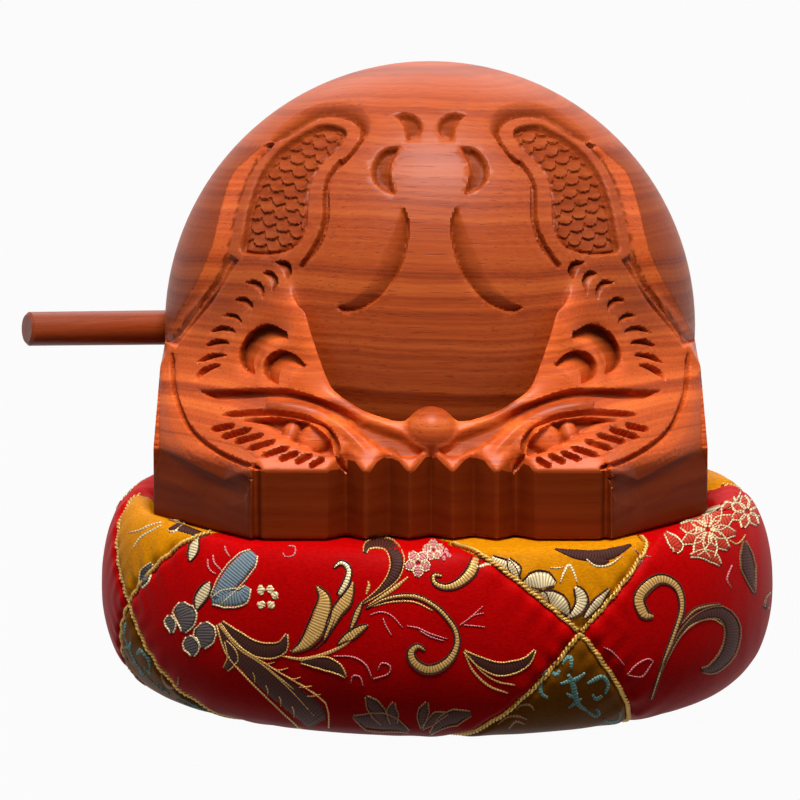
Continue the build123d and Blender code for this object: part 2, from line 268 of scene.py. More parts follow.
def ridge(depth, places, points, width, rise):
    """A rounded bead along a line."""
    line = smooth_line(points)
    index = close_by(places, line, width)
    gap, along = near_line(places[index], line)
    fade = ease(np.minimum(along, 1 - along) / 0.12)
    depth[index] -= rise * fade * ease(1 - gap / (width / 2))


def slope_cut(depth, places, steep, shallow, cut):
    """A cut with a wall along the steep line, rising from its foot to nothing at the shallow line."""
    deep, high = smooth_line(steep), smooth_line(shallow)
    outline = np.vstack((deep, high[::-1]))
    index = close_by(places, outline, 2)
    inside = inside_outline(places[index], outline)
    to_deep, _ = near_line(places[index], deep)
    to_high, _ = near_line(places[index], high)
    share = to_high / np.maximum(to_deep + to_high, 1e-6)
    wall = ease(to_deep / 2.5 + 0.2)
    depth[index] = np.maximum(depth[index], np.where(inside, cut * share * wall, 0))


print("drawing tools ready")

# %% [markdown]
# ## The design
# On each side a fish swims up the dome: a scaled tail in a sunk panel with a raised border, gill cuts
# down its flank, two curls at the cheek, long flowing grooves to the mouth, an eye under a lid and a
# comb of cuts along the jaw. Three pairs of curved cuts mark the middle of the dome.

# %% Tail and flank lines
TAIL_MOAT = (
    [(268, 140), (282, 126), (303, 111), (322, 104), (341, 103), (358, 107), (369, 118), (370, 130),
     (362, 143), (349, 160), (334, 176), (329, 191), (330, 210), (327, 229), (320, 248), (303, 268)],
    [(276, 142), (292, 135), (307, 125), (322, 118), (341, 118), (356, 124), (361, 135), (352, 151),
     (340, 162), (329, 177), (325, 195), (325, 214), (321, 233), (311, 252), (301, 266)],
)
TAIL_PANEL = [
    (291, 250), (299, 244), (306, 229), (308, 210), (310, 187), (316, 174), (326, 160), (340, 147),
    (347, 134), (341, 126), (322, 123), (303, 131), (284, 143), (269, 158), (257, 176), (250, 195),
    (245, 214), (242, 233), (240, 252), (262, 256), (280, 254), (291, 250),
]
FLANK_EDGE = [(276, 141), (257, 160), (246, 180), (238, 202), (232, 225), (226, 252), (215, 279),
              (198, 302), (179, 327), (168, 343)]
FLANK_FACET = [(262, 146), (249, 158), (234, 172), (225, 195), (219, 218), (213, 243), (202, 271),
               (186, 300), (171, 327), (163, 341)]
FLANK_CHANNEL = [(242, 246), (239, 260), (226, 281), (211, 304), (188, 332), (176, 348)]
GILLS = (
    ([(274, 262), (286, 261), (292, 270), (287, 281)], [(274, 262), (279, 267), (283, 273), (287, 281)]),
    ([(262, 273), (271, 271), (278, 281), (272, 295)], [(262, 273), (267, 278), (271, 286), (272, 295)]),
    ([(244, 283), (256, 280), (264, 289), (262, 301)], [(244, 283), (252, 286), (259, 292), (262, 301)]),
    ([(233, 301), (243, 297), (252, 303), (252, 311)], [(233, 301), (241, 303), (247, 306), (252, 311)]),
    ([(222, 316), (232, 313), (240, 318), (242, 324)], [(222, 316), (230, 318), (236, 320), (242, 324)]),
    ([(208, 333), (220, 326), (232, 328), (236, 333)], [(208, 333), (218, 332), (228, 332), (236, 333)]),
    ([(203, 347), (213, 340), (224, 340), (231, 344)], [(203, 347), (213, 346), (222, 345), (231, 344)]),
    ([(196, 363), (207, 355), (219, 353), (229, 355)], [(196, 363), (207, 361), (218, 358), (229, 355)]),
    ([(194, 381), (199, 371), (210, 365), (224, 364)], [(194, 381), (202, 376), (212, 370), (224, 364)]),
)

# %% Cheek, mouth and eye lines
CURLS = (
    ([(287, 332), (269, 324), (252, 331), (242, 344), (239, 357), (243, 367), (255, 375)],
     [(288, 340), (273, 341), (261, 349), (254, 361), (255, 375)]),
    ([(306, 365), (294, 354), (280, 350), (268, 356), (263, 366), (266, 377), (278, 385)],
     [(302, 367), (289, 366), (280, 373), (278, 385)]),
)
BROW_GROOVE = (
    [(196, 390), (226, 389), (258, 388), (284, 388), (309, 394), (335, 404), (350, 411)],
    [(196, 390), (214, 399), (239, 399), (265, 397), (290, 398), (316, 405), (335, 415), (350, 425)],
)
MOUTH_HOLLOW = (
    [(335, 405), (350, 411), (371, 420), (402, 432), (429, 446)],
    [(335, 414), (350, 426), (371, 443), (386, 453), (407, 458), (429, 454)],
)
LID_GROOVE = [(221, 415), (250, 413), (276, 413), (306, 418), (325, 428), (335, 441), (340, 460), (347, 474)]
LOWER_LID = [(242, 421), (268, 426), (285, 436), (302, 446), (318, 453), (333, 456)]
EYE_HOLLOW = (
    [(243, 420), (262, 417), (284, 417), (306, 421), (322, 430), (331, 441), (333, 454)],
    [(243, 422), (268, 428), (285, 438), (302, 447), (318, 454), (333, 456)],
)
EYEBALLS = ((314, 436, 16, 13, 2.9), (291, 429, 9, 9, 1.9))
COMB = (
    ((210, 430), (235, 425)), ((220, 438), (251, 429)), ((233, 443), (264, 434)), ((246, 450), (276, 440)),
    ((261, 456), (289, 447)), ((279, 460), (299, 452)), ((295, 463), (312, 454)), ((309, 467), (324, 458)),
)
RIM_GROOVE = [(172, 352), (173, 380), (177, 401), (189, 427), (205, 443), (230, 458), (261, 469)]
RIM_BEVEL = [(163, 372), (166, 395), (171, 425), (184, 445), (203, 459), (240, 474)]
RIM_EDGE = [(157, 372), (154, 400), (153, 430), (155, 452), (190, 468), (222, 486), (252, 478)]
RIM_SLOPE, RIM_REACH, RIM_FOOT = 0.075, 20, (-10, 30)
CREST_RIDGE = [(215, 405), (250, 404), (285, 405), (315, 411), (338, 425), (356, 442), (372, 458)]

# %% Middle lines
MIDDLE_CUTS = (
    ([(392, 115), (406, 112), (418, 117), (423, 127), (418, 137), (406, 142)],
     [(392, 115), (400, 121), (405, 131), (406, 142)]),
    ([(401, 146), (385, 148), (374, 160), (371, 174), (378, 187), (396, 196)],
     [(401, 146), (392, 163), (391, 176), (396, 196)]),
)
MIDDLE_LEAF = (
    [(403, 205), (409, 222), (408, 241), (401, 267), (385, 292), (366, 308), (345, 313), (336, 307)],
    [(403, 205), (398, 220), (390, 240), (380, 262), (370, 284), (352, 300), (336, 307)],
)
SCALE_FOOT = (275, 255)
SCALE_LEAN = math.radians(24)
SCALE_ROW, SCALE_WIDTH = 11.5, 15.0
TAIL_DEPTH, SCALE_LIFT = 2.3, 1.9


def scale_relief(places):
    """Overlapping fish scales: rows climb the tail and each scale lifts to a rounded tip."""
    right, down = (places - SCALE_FOOT).T
    along = right * math.sin(SCALE_LEAN) - down * math.cos(SCALE_LEAN)
    across = right * math.cos(SCALE_LEAN) + down * math.sin(SCALE_LEAN)
    row_step, width = SCALE_ROW, SCALE_WIDTH
    row = np.floor(along / row_step)
    best = np.zeros(len(places))
    for back in (2, 1, 0):
        this_row = row - back + 1
        middle = np.where(this_row % 2 == 0, 0.0, width / 2)
        dx = (across - middle) - np.round((across - middle) / width) * width
        dy = along - this_row * row_step
        lies = (dx / (width * 0.56)) ** 2 + (np.minimum(dy, 0) / (row_step * 0.95)) ** 2 < 1
        lies &= dy < row_step
        tip = np.clip(-dy / (row_step * 0.95), -1, 1)
        best = np.where(lies, 0.35 + 0.35 * tip, best)
    return best


def sink_tail(depth, places):
    """Sinks the tail's panel and lets its scales rise from the ground."""
    panel = smooth_line(TAIL_PANEL)
    index = close_by(places, panel, 3)
    within = inside_outline(places[index], panel)
    gap, _ = near_line(places[index], panel)
    sunk = TAIL_DEPTH * ease(gap / 4 + 0.1) - SCALE_LIFT * scale_relief(places[index]) * ease((gap - 2) / 4)
    depth[index] = np.where(within, np.maximum(depth[index], sunk), depth[index])


def bevel_rim(depth, places):
    """Slopes the rim of the head block down to its edge, and lets the cut run out on the wall below."""
    bevel, edge = smooth_line(RIM_BEVEL), smooth_line(RIM_EDGE)
    index = close_by(places, np.vstack((bevel, edge)), 2)
    within = inside_outline(places[index], np.vstack((bevel, edge[::-1])))
    fall, _ = near_line(places[index], bevel)
    depth[index] += np.where(within, RIM_SLOPE * np.minimum(fall, RIM_REACH), 0)
    index = close_by(places, edge, 30)
    below = inside_outline(places[index], np.vstack((edge, edge[::-1] + RIM_FOOT)))
    fall, _ = near_line(places[index], bevel)
    drop, _ = near_line(places[index], edge)
    depth[index] += np.where(below, RIM_SLOPE * np.maximum(np.minimum(fall, RIM_REACH) - drop, 0), 0)


def carve_depth(places):
    """How deep the gouge goes, in millimetres, at places on the drawing."""
    depth = np.zeros(len(places))
    for outer, inner in MIDDLE_CUTS:
        hollow(depth, places, outer, inner, 2.0)
    slope_cut(depth, places, *MIDDLE_LEAF, 2.2)
    slope_cut(depth, places, TAIL_MOAT[1], TAIL_MOAT[0], 3.2)
    gouge(depth, places, TAIL_MOAT[1][8:], 5, 1.6)
    sink_tail(depth, places)
    slope_cut(depth, places, FLANK_EDGE, FLANK_FACET, 2.4)
    gouge(depth, places, FLANK_EDGE, 5, 2.4, 0.05)
    hollow(depth, places, FLANK_EDGE[5:], FLANK_CHANNEL[1:], 1.5, 4)
    ridge(depth, places, [(x + 6, y + 3) for x, y in FLANK_EDGE[5:]], 6, 1.3)
    for steep, shallow in GILLS:
        slope_cut(depth, places, steep, shallow, 3.0)
    for outer, inner in CURLS:
        slope_cut(depth, places, outer, inner, 3.2)
    hollow(depth, places, *BROW_GROOVE, 2.4, 4.5)
    hollow(depth, places, *MOUTH_HOLLOW, 2.4, 8)
    gouge(depth, places, LID_GROOVE, 7, 2.0, 0.08)
    hollow(depth, places, *EYE_HOLLOW, 2.6, 5)
    for x, y, half_x, half_y, rise in EYEBALLS:
        ball = 1 - ((places[:, 0] - x) / half_x) ** 2 - ((places[:, 1] - y) / half_y) ** 2
        depth -= rise * np.sqrt(np.clip(ball, 0, 1))
    ridge(depth, places, LOWER_LID, 7, 0.8)
    ridge(depth, places, CREST_RIDGE, 14, 0.8)
    for start, end in COMB:
        middle = ((start[0] + end[0]) / 2, (start[1] + end[1]) / 2)
        gouge(depth, places, [start, middle, end], 6.5, 2.4, 0.16)
    gouge(depth, places, RIM_GROOVE, 6, 1.9, 0.05)
    bevel_rim(depth, places)
    return depth


print("design lines", len(GILLS) + len(CURLS) + len(COMB) + len(MIDDLE_CUTS))

# %% [markdown]
# ## The fish body
# The CAD solid gives the dome, the slit, the chamber and the faceted head block, with the main cuts in
# plain form. Those on the dome are filled first, because the full design is cut again below. A voxel
# remesh turns the solid into an even skin, a masked smooth melts the facets of the head into flowing
# flesh, and then each point that can be seen from the front sinks by the depth of the gouge. Sculpting
# by hand could do the same, but lines on a drawing can be measured and changed. Decimation last keeps
# the triangles where the carving needs them.

# %% Even skin over the solid
FISH_VOXEL = 0.55 * MM
DOME_RADIUS, DOME_HALF_DEPTH = 75, 58
FILL_ANGLE = 78
FILL_SHARE = 0.92


def applied(obj):
    """Turns an object's modifiers into plain mesh."""
    depsgraph = bpy.context.evaluated_depsgraph_get()
    mesh = bpy.data.meshes.new_from_object(obj.evaluated_get(depsgraph))
    old = obj.data
    obj.modifiers.clear()
    obj.data = mesh
    bpy.data.meshes.remove(old)


def vertex_places(mesh):
    """Places of a mesh's points."""
    co = np.empty(len(mesh.vertices) * 3)
    mesh.vertices.foreach_get("co", co)
    return co.reshape(-1, 3)


def vertex_normals(mesh):
    """Normals at a mesh's points."""
    normals = np.empty(len(mesh.vertices) * 3)
    mesh.vertex_normals.foreach_get("vector", normals)
    return normals.reshape(-1, 3)


def face_places(mesh):
    """Centres and normals of a mesh's faces."""
    places = np.empty(len(mesh.polygons) * 3)
    mesh.polygons.foreach_get("center", places)
    directions = np.empty(len(mesh.polygons) * 3)
    mesh.polygons.foreach_get("normal", directions)
    return places.reshape(-1, 3), directions.reshape(-1, 3)


def merged_copy(node, name):
    """A CAD node's mesh as a new object, its loose triangles joined."""
    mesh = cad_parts[node].data.copy()
    mesh.name = name
    mesh.materials.clear()
    bm = bmesh.new()
    bm.from_mesh(mesh)
    bmesh.ops.remove_doubles(bm, verts=bm.verts, dist=1e-6)
    bm.to_mesh(mesh)
    bm.free()
    obj = bpy.data.objects.new(name, mesh)
    scene.collection.objects.link(obj)
    return obj


def fill_dome_front(bm):
    """Half a cap, as thick as the cuts are deep and more, that fills the dome's plain cuts flush."""
    angles = np.radians(np.linspace(0, FILL_ANGLE, 40))
    outer = [(DOME_RADIUS * math.sin(a), -DOME_HALF_DEPTH * math.cos(a)) for a in angles]
    inner = [(FILL_SHARE * x, FILL_SHARE * y) for x, y in outer[::-1]]
    verts = [bm.verts.new(Vector((x, y, 0)) * MM + DOME_CENTRE) for x, y in outer + inner]
    face = bm.faces.new(verts)
    # The copy stays behind and closes the cap where the turn starts.
    bmesh.ops.duplicate(bm, geom=[face])
    bmesh.ops.spin(bm, geom=[face], cent=DOME_CENTRE, axis=(0, -1, 0), angle=math.pi, steps=90)


fish = merged_copy("fish_body", "fish_body_carved")
bm = bmesh.new()
fill_dome_front(bm)
bmesh.ops.remove_doubles(bm, verts=bm.verts, dist=0.001 * MM)
bmesh.ops.recalc_face_normals(bm, faces=bm.faces)
bm.from_mesh(fish.data)
bm.to_mesh(fish.data)
bm.free()
remesh = fish.modifiers.new("skin", "REMESH")
remesh.mode = "VOXEL"
remesh.voxel_size = FISH_VOXEL
applied(fish)
print("fish skin", len(fish.data.vertices), "points")

# %% Melt the facets of the heads
FISH_BASE = 54.8 * MM
FRONT_TOP = FISH_BASE + 19 * MM
FRONT_LIMIT = 30 * MM
INNER_WALL_HALF, INNER_WALL_BACK = 46 * MM, -18 * MM
CREST_RISE = 12 * MM
MELT_ROUNDS, CREST_ROUNDS = 110, 90
WEIGHT_LEVELS = 10
PEARL_CENTRE = np.array((0, -59, 82.4)) * MM
PEARL_RADIUS = 7.2 * MM
FLESH = [(318, 250), (330, 330), (360, 400), (400, 436), (424, 452), (405, 462), (345, 468), (270, 458),
         (222, 444), (190, 420), (180, 380), (178, 350), (200, 315), (228, 285), (240, 255), (275, 235),
         (318, 250)]


def outside_dome(coords):
    """How far points stand outside the dome, as a share of its radius."""
    radii = np.array((DOME_RADIUS, DOME_HALF_DEPTH, DOME_RADIUS)) * MM
    from_centre = (coords - np.array(DOME_CENTRE)) / radii
    return np.linalg.norm(from_centre, axis=1) - 1


def off_pearl(coords):
    """0 on the pearl and 1 away from it."""
    return ease((np.linalg.norm(coords - PEARL_CENTRE, axis=1) - PEARL_RADIUS - 0.25 * MM) / (1.2 * MM))


coords = vertex_places(fish.data)
places = on_drawing(coords)
outline = smooth_line(FLESH, 3)
margin, _ = near_line(places, outline)
front = np.where(inside_outline(places, outline), ease(margin / 12 + 0.15), 0.15 * ease(1 - margin / 8))
inner_wall = (np.abs(coords[:, 0]) < INNER_WALL_HALF) & (coords[:, 1] < INNER_WALL_BACK)
inner_wall &= outside_dome(coords) > 0.004
weight = np.where(inner_wall, 0.9, front * ease(outside_dome(coords) / 0.03 + 0.5))
weight *= ease((coords[:, 2] - FRONT_TOP - 1 * MM) / (7 * MM)) * off_pearl(coords)
weight *= 0.35 + 0.65 * ease((np.abs(coords[:, 0]) - 10 * MM) / (18 * MM))
weight[(coords[:, 1] > FRONT_LIMIT) | (outside_dome(coords) < -0.06)] = 0
flesh_group = fish.vertex_groups.new(name="flesh")
for level in range(1, WEIGHT_LEVELS + 1):
    chosen = np.flatnonzero(np.round(weight * WEIGHT_LEVELS) == level)
    flesh_group.add(chosen.tolist(), level / WEIGHT_LEVELS, "REPLACE")
all_over = fish.modifiers.new("all_over", "SMOOTH")
all_over.iterations = 3
melt = fish.modifiers.new("melt", "SMOOTH")
melt.factor = 0.8
melt.iterations = MELT_ROUNDS
melt.vertex_group = "flesh"
crest_group = fish.vertex_groups.new(name="crest")
crest = inner_wall & (weight > 0.05) & (coords[:, 2] > FRONT_TOP + CREST_RISE)
crest_group.add(np.flatnonzero(crest).tolist(), 1.0, "REPLACE")
round_crest = fish.modifiers.new("round_crest", "SMOOTH")
round_crest.factor = 0.8
round_crest.iterations = CREST_ROUNDS
round_crest.vertex_group = "crest"
applied(fish)
print("flesh points", int((weight > 0.1).sum()))

# %% Dip of the corner blocks
# The top edge of each corner's wall dips in its middle. The wall runs from the corner to the front.
CORNER = np.array((77, -28)) * MM
FRONT_CORNER = np.array((49, -70)) * MM
DIP = 4.6 * MM
DIP_PLACE = 0.7
coords = vertex_places(fish.data)
plan = np.column_stack((np.abs(coords[:, 0]), coords[:, 1]))
run = FRONT_CORNER - CORNER
along = (plan - CORNER) @ run / (run @ run)
inward = (plan - CORNER) @ np.array((run[1], -run[0])) / np.linalg.norm(run)
dip = np.interp(along, [0.05, DIP_PLACE, 1.0], [0, 1, 0]) * ease(1 - inward / (15 * MM))
dip *= np.clip((coords[:, 2] - FISH_BASE) / (FRONT_TOP - FISH_BASE), 0, 1)
coords[:, 2] -= DIP * dip
fish.data.vertices.foreach_set("co", coords.ravel())
fish.data.update()
print("corner dip", round(DIP / MM, 1), "mm")

# %% Cut the design
FACING_LEAST = 0.03
LOOK_START = 0.4 * MM
coords = vertex_places(fish.data)
normals = vertex_normals(fish.data)
places = on_drawing(coords)
towards = -np.array(VIEW_FORWARD)
tree = BVHTree.FromObject(fish, bpy.context.evaluated_depsgraph_get())
depth = carve_depth(places)
depth[normals @ towards < FACING_LEAST] = 0
depth *= off_pearl(coords)
for index in np.flatnonzero(np.abs(depth) > 0.01):
    start = Vector(coords[index] + normals[index] * LOOK_START)
    if tree.ray_cast(start, Vector(towards))[0] is not None:
        depth[index] = 0
coords -= normals * depth[:, None] * MM
fish.data.vertices.foreach_set("co", coords.ravel())
fish.data.update()
print("deepest cut", round(float(depth.max()), 2), "mm; points cut", int((depth > 0.05).sum()))

# %% Fewer triangles where the wood is plain
FISH_TRIANGLES = 185000
SHARP_ANGLE = math.radians(40)
thin = fish.modifiers.new("thin", "DECIMATE")
thin.ratio = FISH_TRIANGLES / (2 * len(fish.data.polygons))
applied(fish)
fish.data.shade_smooth()
fish.data.set_sharp_from_angle(angle=SHARP_ANGLE)
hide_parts("fish_body")
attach(fish, "fish")
print("fish triangles", sum(len(p.vertices) - 2 for p in fish.data.polygons))

# %% [markdown]
# ## Lacquered red-brown wood
# The block is cut from a log that lies across the drum, so its growth rings run level over the front
# and close into arcs at the sides. Ring bands come from noise that is read along the distance to the
# log's axis. Fine fibres and short dark pores are noise that is stretched along the grain. A painted
# picture of wood would show its edges at the cuts, and this grain runs through them. The mallet's turned
# solids keep their CAD form and get the same wood, a little darker.

# %% Wood
def noise(nodes, links, vector, scale, detail=2.0, roughness=0.5, stretch=None):
    """Noise texture on a vector, stretched by a mapping if asked."""
    if stretch:
        mapping = nodes.new("ShaderNodeMapping")
        mapping.inputs["Scale"].default_value = stretch
        links.new(vector, mapping.inputs["Vector"])
        vector = mapping.outputs["Vector"]
    texture = nodes.new("ShaderNodeTexNoise")
    texture.inputs["Scale"].default_value = scale
    texture.inputs["Detail"].default_value = detail
    texture.inputs["Roughness"].default_value = roughness
    links.new(vector, texture.inputs["Vector"])
    return texture.outputs["Fac"]


def ramp(nodes, links, fac, *stops):
    """Colour ramp from (position, colour) stops; a number stands for a grey."""
    node = nodes.new("ShaderNodeValToRGB")
    elements = node.color_ramp.elements
    while len(elements) < len(stops):
        elements.new(0.5)
    for element, (position, colour) in zip(elements, stops):
        element.position = position
        element.color = (colour,) * 3 + (1,) if isinstance(colour, (int, float)) else (*colour, 1)
    links.new(fac, node.inputs["Fac"])
    return node.outputs["Color"]


def math_node(nodes, links, operation, a, b, clamp=False):
    """Math node on two sockets or numbers."""
    node = nodes.new("ShaderNodeMath")
    node.operation = operation
    node.use_clamp = clamp
    for socket, value in zip(node.inputs, (a, b)):
        if isinstance(value, (int, float)):
            socket.default_value = value
        else:
            links.new(value, socket)
    return node.outputs[0]


def mix_colour(nodes, links, fac, a, b, blend="MIX"):
    """Mix node on two colours, given as sockets or as plain colours."""
    node = nodes.new("ShaderNodeMix")
    node.data_type = "RGBA"
    node.blend_type = blend
    pairs = ((node.inputs["Factor"], fac), (node.inputs[6], a), (node.inputs[7], b))
    for socket, value in pairs:
        if isinstance(value, (int, float)):
            socket.default_value = value
        elif isinstance(value, tuple):
            socket.default_value = (*value, 1)
        else:
            links.new(value, socket)
    return node.outputs[2]


def bump(nodes, links, height, distance, strength=1.0, normal=None):
    """Bump node over a height."""
    node = nodes.new("ShaderNodeBump")
    node.inputs["Distance"].default_value = distance
    node.inputs["Strength"].default_value = strength
    links.new(height, node.inputs["Height"])
    if normal is not None:
        links.new(normal, node.inputs["Normal"])
    return node.outputs["Normal"]


def mark(nodes, name):
    """Reads a mark that is stored on the surface."""
    node = nodes.new("ShaderNodeAttribute")
    node.attribute_name = name
    return node.outputs["Fac"]


def mix_vector(nodes, links, vector, shift, amount):
    """Pushes a vector about by a coloured noise."""
    scaled = nodes.new("ShaderNodeVectorMath")
    scaled.operation = "MULTIPLY_ADD"
    scaled.inputs[1].default_value = (amount,) * 3
    links.new(shift, scaled.inputs[0])
    links.new(vector, scaled.inputs[2])
    return scaled.outputs[0]


def wood_finish(name, log_axis, turn, pale, middle, dark, carved):
    """Satin lacquered wood whose log axis lies along X after the turn."""
    material, nodes, links = new_material(name)
    shader = nodes["Principled BSDF"]
    where = nodes.new("ShaderNodeTexCoord").outputs["Object"]
    lay = nodes.new("ShaderNodeMapping")
    lay.inputs["Location"].default_value = log_axis
    lay.inputs["Rotation"].default_value = turn
    links.new(where, lay.inputs["Vector"])
    grain = lay.outputs["Vector"]
    sway = nodes.new("ShaderNodeTexNoise")
    sway.inputs["Scale"].default_value = 9.0
    sway.inputs["Detail"].default_value = 3.0
    links.new(grain, sway.inputs["Vector"])
    swayed = mix_vector(nodes, links, grain, sway.outputs["Color"], 0.016)
    across = nodes.new("ShaderNodeVectorMath")
    across.operation = "MULTIPLY"
    across.inputs[1].default_value = (0.04, 1, 1)
    links.new(swayed, across.inputs[0])
    radius = nodes.new("ShaderNodeVectorMath")
    radius.operation = "LENGTH"
    links.new(across.outputs[0], radius.inputs[0])
    rings = nodes.new("ShaderNodeTexNoise")
    rings.noise_dimensions = "1D"
    rings.inputs["Scale"].default_value = 260.0
    rings.inputs["Detail"].default_value = 3.0
    rings.inputs["Roughness"].default_value = 0.62
    links.new(radius.outputs["Value"], rings.inputs["W"])
    fibres = noise(nodes, links, grain, 60.0, 4.0, 0.7, (1.2, 26, 26))
    pores = noise(nodes, links, grain, 130.0, 1.0, 0.5, (1.0, 16, 16))
    cloud = noise(nodes, links, grain, 16.0, 2.0)
    tone = math_node(nodes, links, "ADD", math_node(nodes, links, "MULTIPLY", rings.outputs["Fac"], 0.72),
                     math_node(nodes, links, "MULTIPLY", fibres, 0.28))
    colour = ramp(nodes, links, tone, (0.30, dark), (0.47, middle), (0.66, pale))
    colour = mix_colour(nodes, links, math_node(nodes, links, "MULTIPLY", cloud, 0.35), colour, middle)
    pore_mark = ramp(nodes, links, pores, (0.30, 1.0), (0.36, 0.0))
    colour = mix_colour(nodes, links, math_node(nodes, links, "MULTIPLY", pore_mark, 0.45), colour, dark)
    if carved:
        # Stain and painted shade: deep cuts, creases and the dome's sides are darkened.
        stain_and_shade = math_node(nodes, links, "MULTIPLY", mark(nodes, "stain_and_shade"), 0.52, True)
        colour = mix_colour(nodes, links, stain_and_shade, colour, tuple(0.32 * c for c in dark))
        # Painted shade: the upright walls of the block are darkened.
        painted_wall_shade = math_node(nodes, links, "MULTIPLY", mark(nodes, "wall"), 0.9)
        colour = mix_colour(nodes, links, painted_wall_shade, colour, tuple(0.45 * c for c in dark))
        colour = mix_colour(nodes, links, mark(nodes, "pale"), colour, (1.7, 1.7, 1.7), "MULTIPLY")
        dull = math_node(nodes, links, "MAXIMUM", mark(nodes, "stain_and_shade"), mark(nodes, "wall"))
        sheen = math_node(nodes, links, "SUBTRACT", 0.18, math_node(nodes, links, "MULTIPLY", dull, 0.16))
        links.new(sheen, shader.inputs["Specular IOR Level"])
        # Pale edges: wear, and a painted highlight along them.
        wear_and_highlight = math_node(nodes, links, "MULTIPLY", mark(nodes, "wear_and_highlight"), 0.55, True)
        colour = mix_colour(nodes, links, wear_and_highlight, colour, tuple(min(1.3 * c, 1) for c in pale))
    links.new(colour, shader.inputs["Base Color"])
    gloss = ramp(nodes, links, fibres, (0.3, 0.36), (0.7, 0.48))
    links.new(gloss, shader.inputs["Roughness"])
    shader.inputs["Specular IOR Level"].default_value = 0.25
    shader.inputs["Coat Weight"].default_value = 0.03
    shader.inputs["Coat Roughness"].default_value = 0.24
    height = math_node(nodes, links, "SUBTRACT", math_node(nodes, links, "MULTIPLY", fibres, 0.5), pore_mark)
    normal = bump(nodes, links, height, 0.05 * MM, 0.5)
    if carved:
        tooling = noise(nodes, links, where, 420.0, 2.0)
        rough_ground = math_node(nodes, links, "MULTIPLY", tooling, mark(nodes, "stain_and_shade"))
        normal = bump(nodes, links, rough_ground, 0.3 * MM, 0.6, normal)
    links.new(normal, shader.inputs["Normal"])
    return material


WOOD_PALE = (0.54, 0.108, 0.019)
WOOD_MIDDLE = (0.38, 0.056, 0.008)
WOOD_DARK = (0.15, 0.017, 0.002)
fish_wood = wood_finish("fish_wood", (0, 0.02, 0.25), (0, 0, 0), WOOD_PALE, WOOD_MIDDLE, WOOD_DARK, True)
fish.data.materials.append(fish_wood)
MALLET_TURN = math.radians(-23.9)
mallet_wood = wood_finish("mallet_wood", (0, 0.03, -0.10), (0, 0, MALLET_TURN), WOOD_MIDDLE,
                          tuple(0.6 * c for c in WOOD_MIDDLE), WOOD_DARK, False)
for name in ("mallet_handle", "mallet_head"):
    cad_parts[name].data.materials.clear()
    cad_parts[name].data.materials.append(mallet_wood)
print("wood", fish_wood.name, mallet_wood.name)

# %% [markdown]
# ## Stain, wear and painted shade
# Deep cuts and creases darken, partly from stain that gathers there and partly as painted shade, and the
# dome's sides beyond the flanks get painted shade. Sharp edges turn pale, partly from wear and partly as a
# painted highlight; the carved heads are paler than the dome, and painted shade darkens the upright walls of
# the block. These could be painted by hand, but four marks worked out from the shape stay right when the
# carving changes. The walls' mark is kept per face, because large flat triangles would smear a mark that is
# kept per point.

# %% Marks for stain, wear, painted shade and painted highlight
def edge_sharpness(mesh, rounds):
    """How far each point stands out from its neighbours, evened out over a few rounds."""
    coords, normals = vertex_places(mesh), vertex_normals(mesh)
    ends = np.empty(len(mesh.edges) * 2, int)
    mesh.edges.foreach_get("vertices", ends)
    a, b = ends.reshape(-1, 2).T
    count = len(coords)
    span = np.linalg.norm(coords[a] - coords[b], axis=1) + 1e-9
    lean_a = np.einsum("ij,ij->i", normals[a], coords[a] - coords[b]) / span
    lean_b = np.einsum("ij,ij->i", normals[b], coords[b] - coords[a]) / span
    joins = np.bincount(a, minlength=count) + np.bincount(b, minlength=count)
    sharp = (np.bincount(a, lean_a, count) + np.bincount(b, lean_b, count)) / np.maximum(joins, 1)
    for _ in range(rounds):
        spread = np.bincount(a, sharp[b], count) + np.bincount(b, sharp[a], count)
        sharp = 0.5 * sharp + 0.5 * spread / np.maximum(joins, 1)
    return sharp


def store_mark(mesh, name, values, domain="POINT"):
    """Stores one number per point, or per face, under a name."""
    attribute = mesh.attributes.new(name, "FLOAT", domain)
    attribute.data.foreach_set("value", np.ascontiguousarray(values, dtype=np.float32))


SIDE_WIDTH = 140
coords, normals = vertex_places(fish.data), vertex_normals(fish.data)
places = on_drawing(coords)
depth = carve_depth(places)
seen = (normals @ towards > -0.25) & (coords[:, 1] < FRONT_LIMIT) & (outside_dome(coords) > -0.09)
sharp = edge_sharpness(fish.data, 2)
# Pale mark on sharp edges: wear, and a painted highlight.
wear_and_highlight = ease((sharp - 0.10) / 0.25)
facet = smooth_line(FLANK_FACET)
flank = inside_outline(places, np.vstack((smooth_line(FLANK_EDGE), facet[::-1]))) * seen
side = inside_outline(places, np.vstack((facet, facet[::-1] - (SIDE_WIDTH, 0)))) * seen
side = side * ease((FRONT_LIMIT - coords[:, 1]) / (40 * MM))
# Stain with painted shade: deep cuts and concave creases darken; the dome's side beyond the flank facet gets
# painted shade only.
stain_and_shade = np.where(seen, ease(depth / 2.4), 0) * off_pearl(coords)
stain_and_shade = np.maximum(stain_and_shade, 0.7 * ease((-sharp - 0.12) / 0.3))
stain_and_shade = np.maximum(stain_and_shade * (1 - 0.9 * flank), 0.55 * side)
pale = ease(outside_dome(coords) / 0.05) * (0.5 + 0.5 * off_pearl(coords)) * (coords[:, 1] < 0)
pale = np.maximum(pale, 0.6 * flank)
centres, facing = face_places(fish.data)
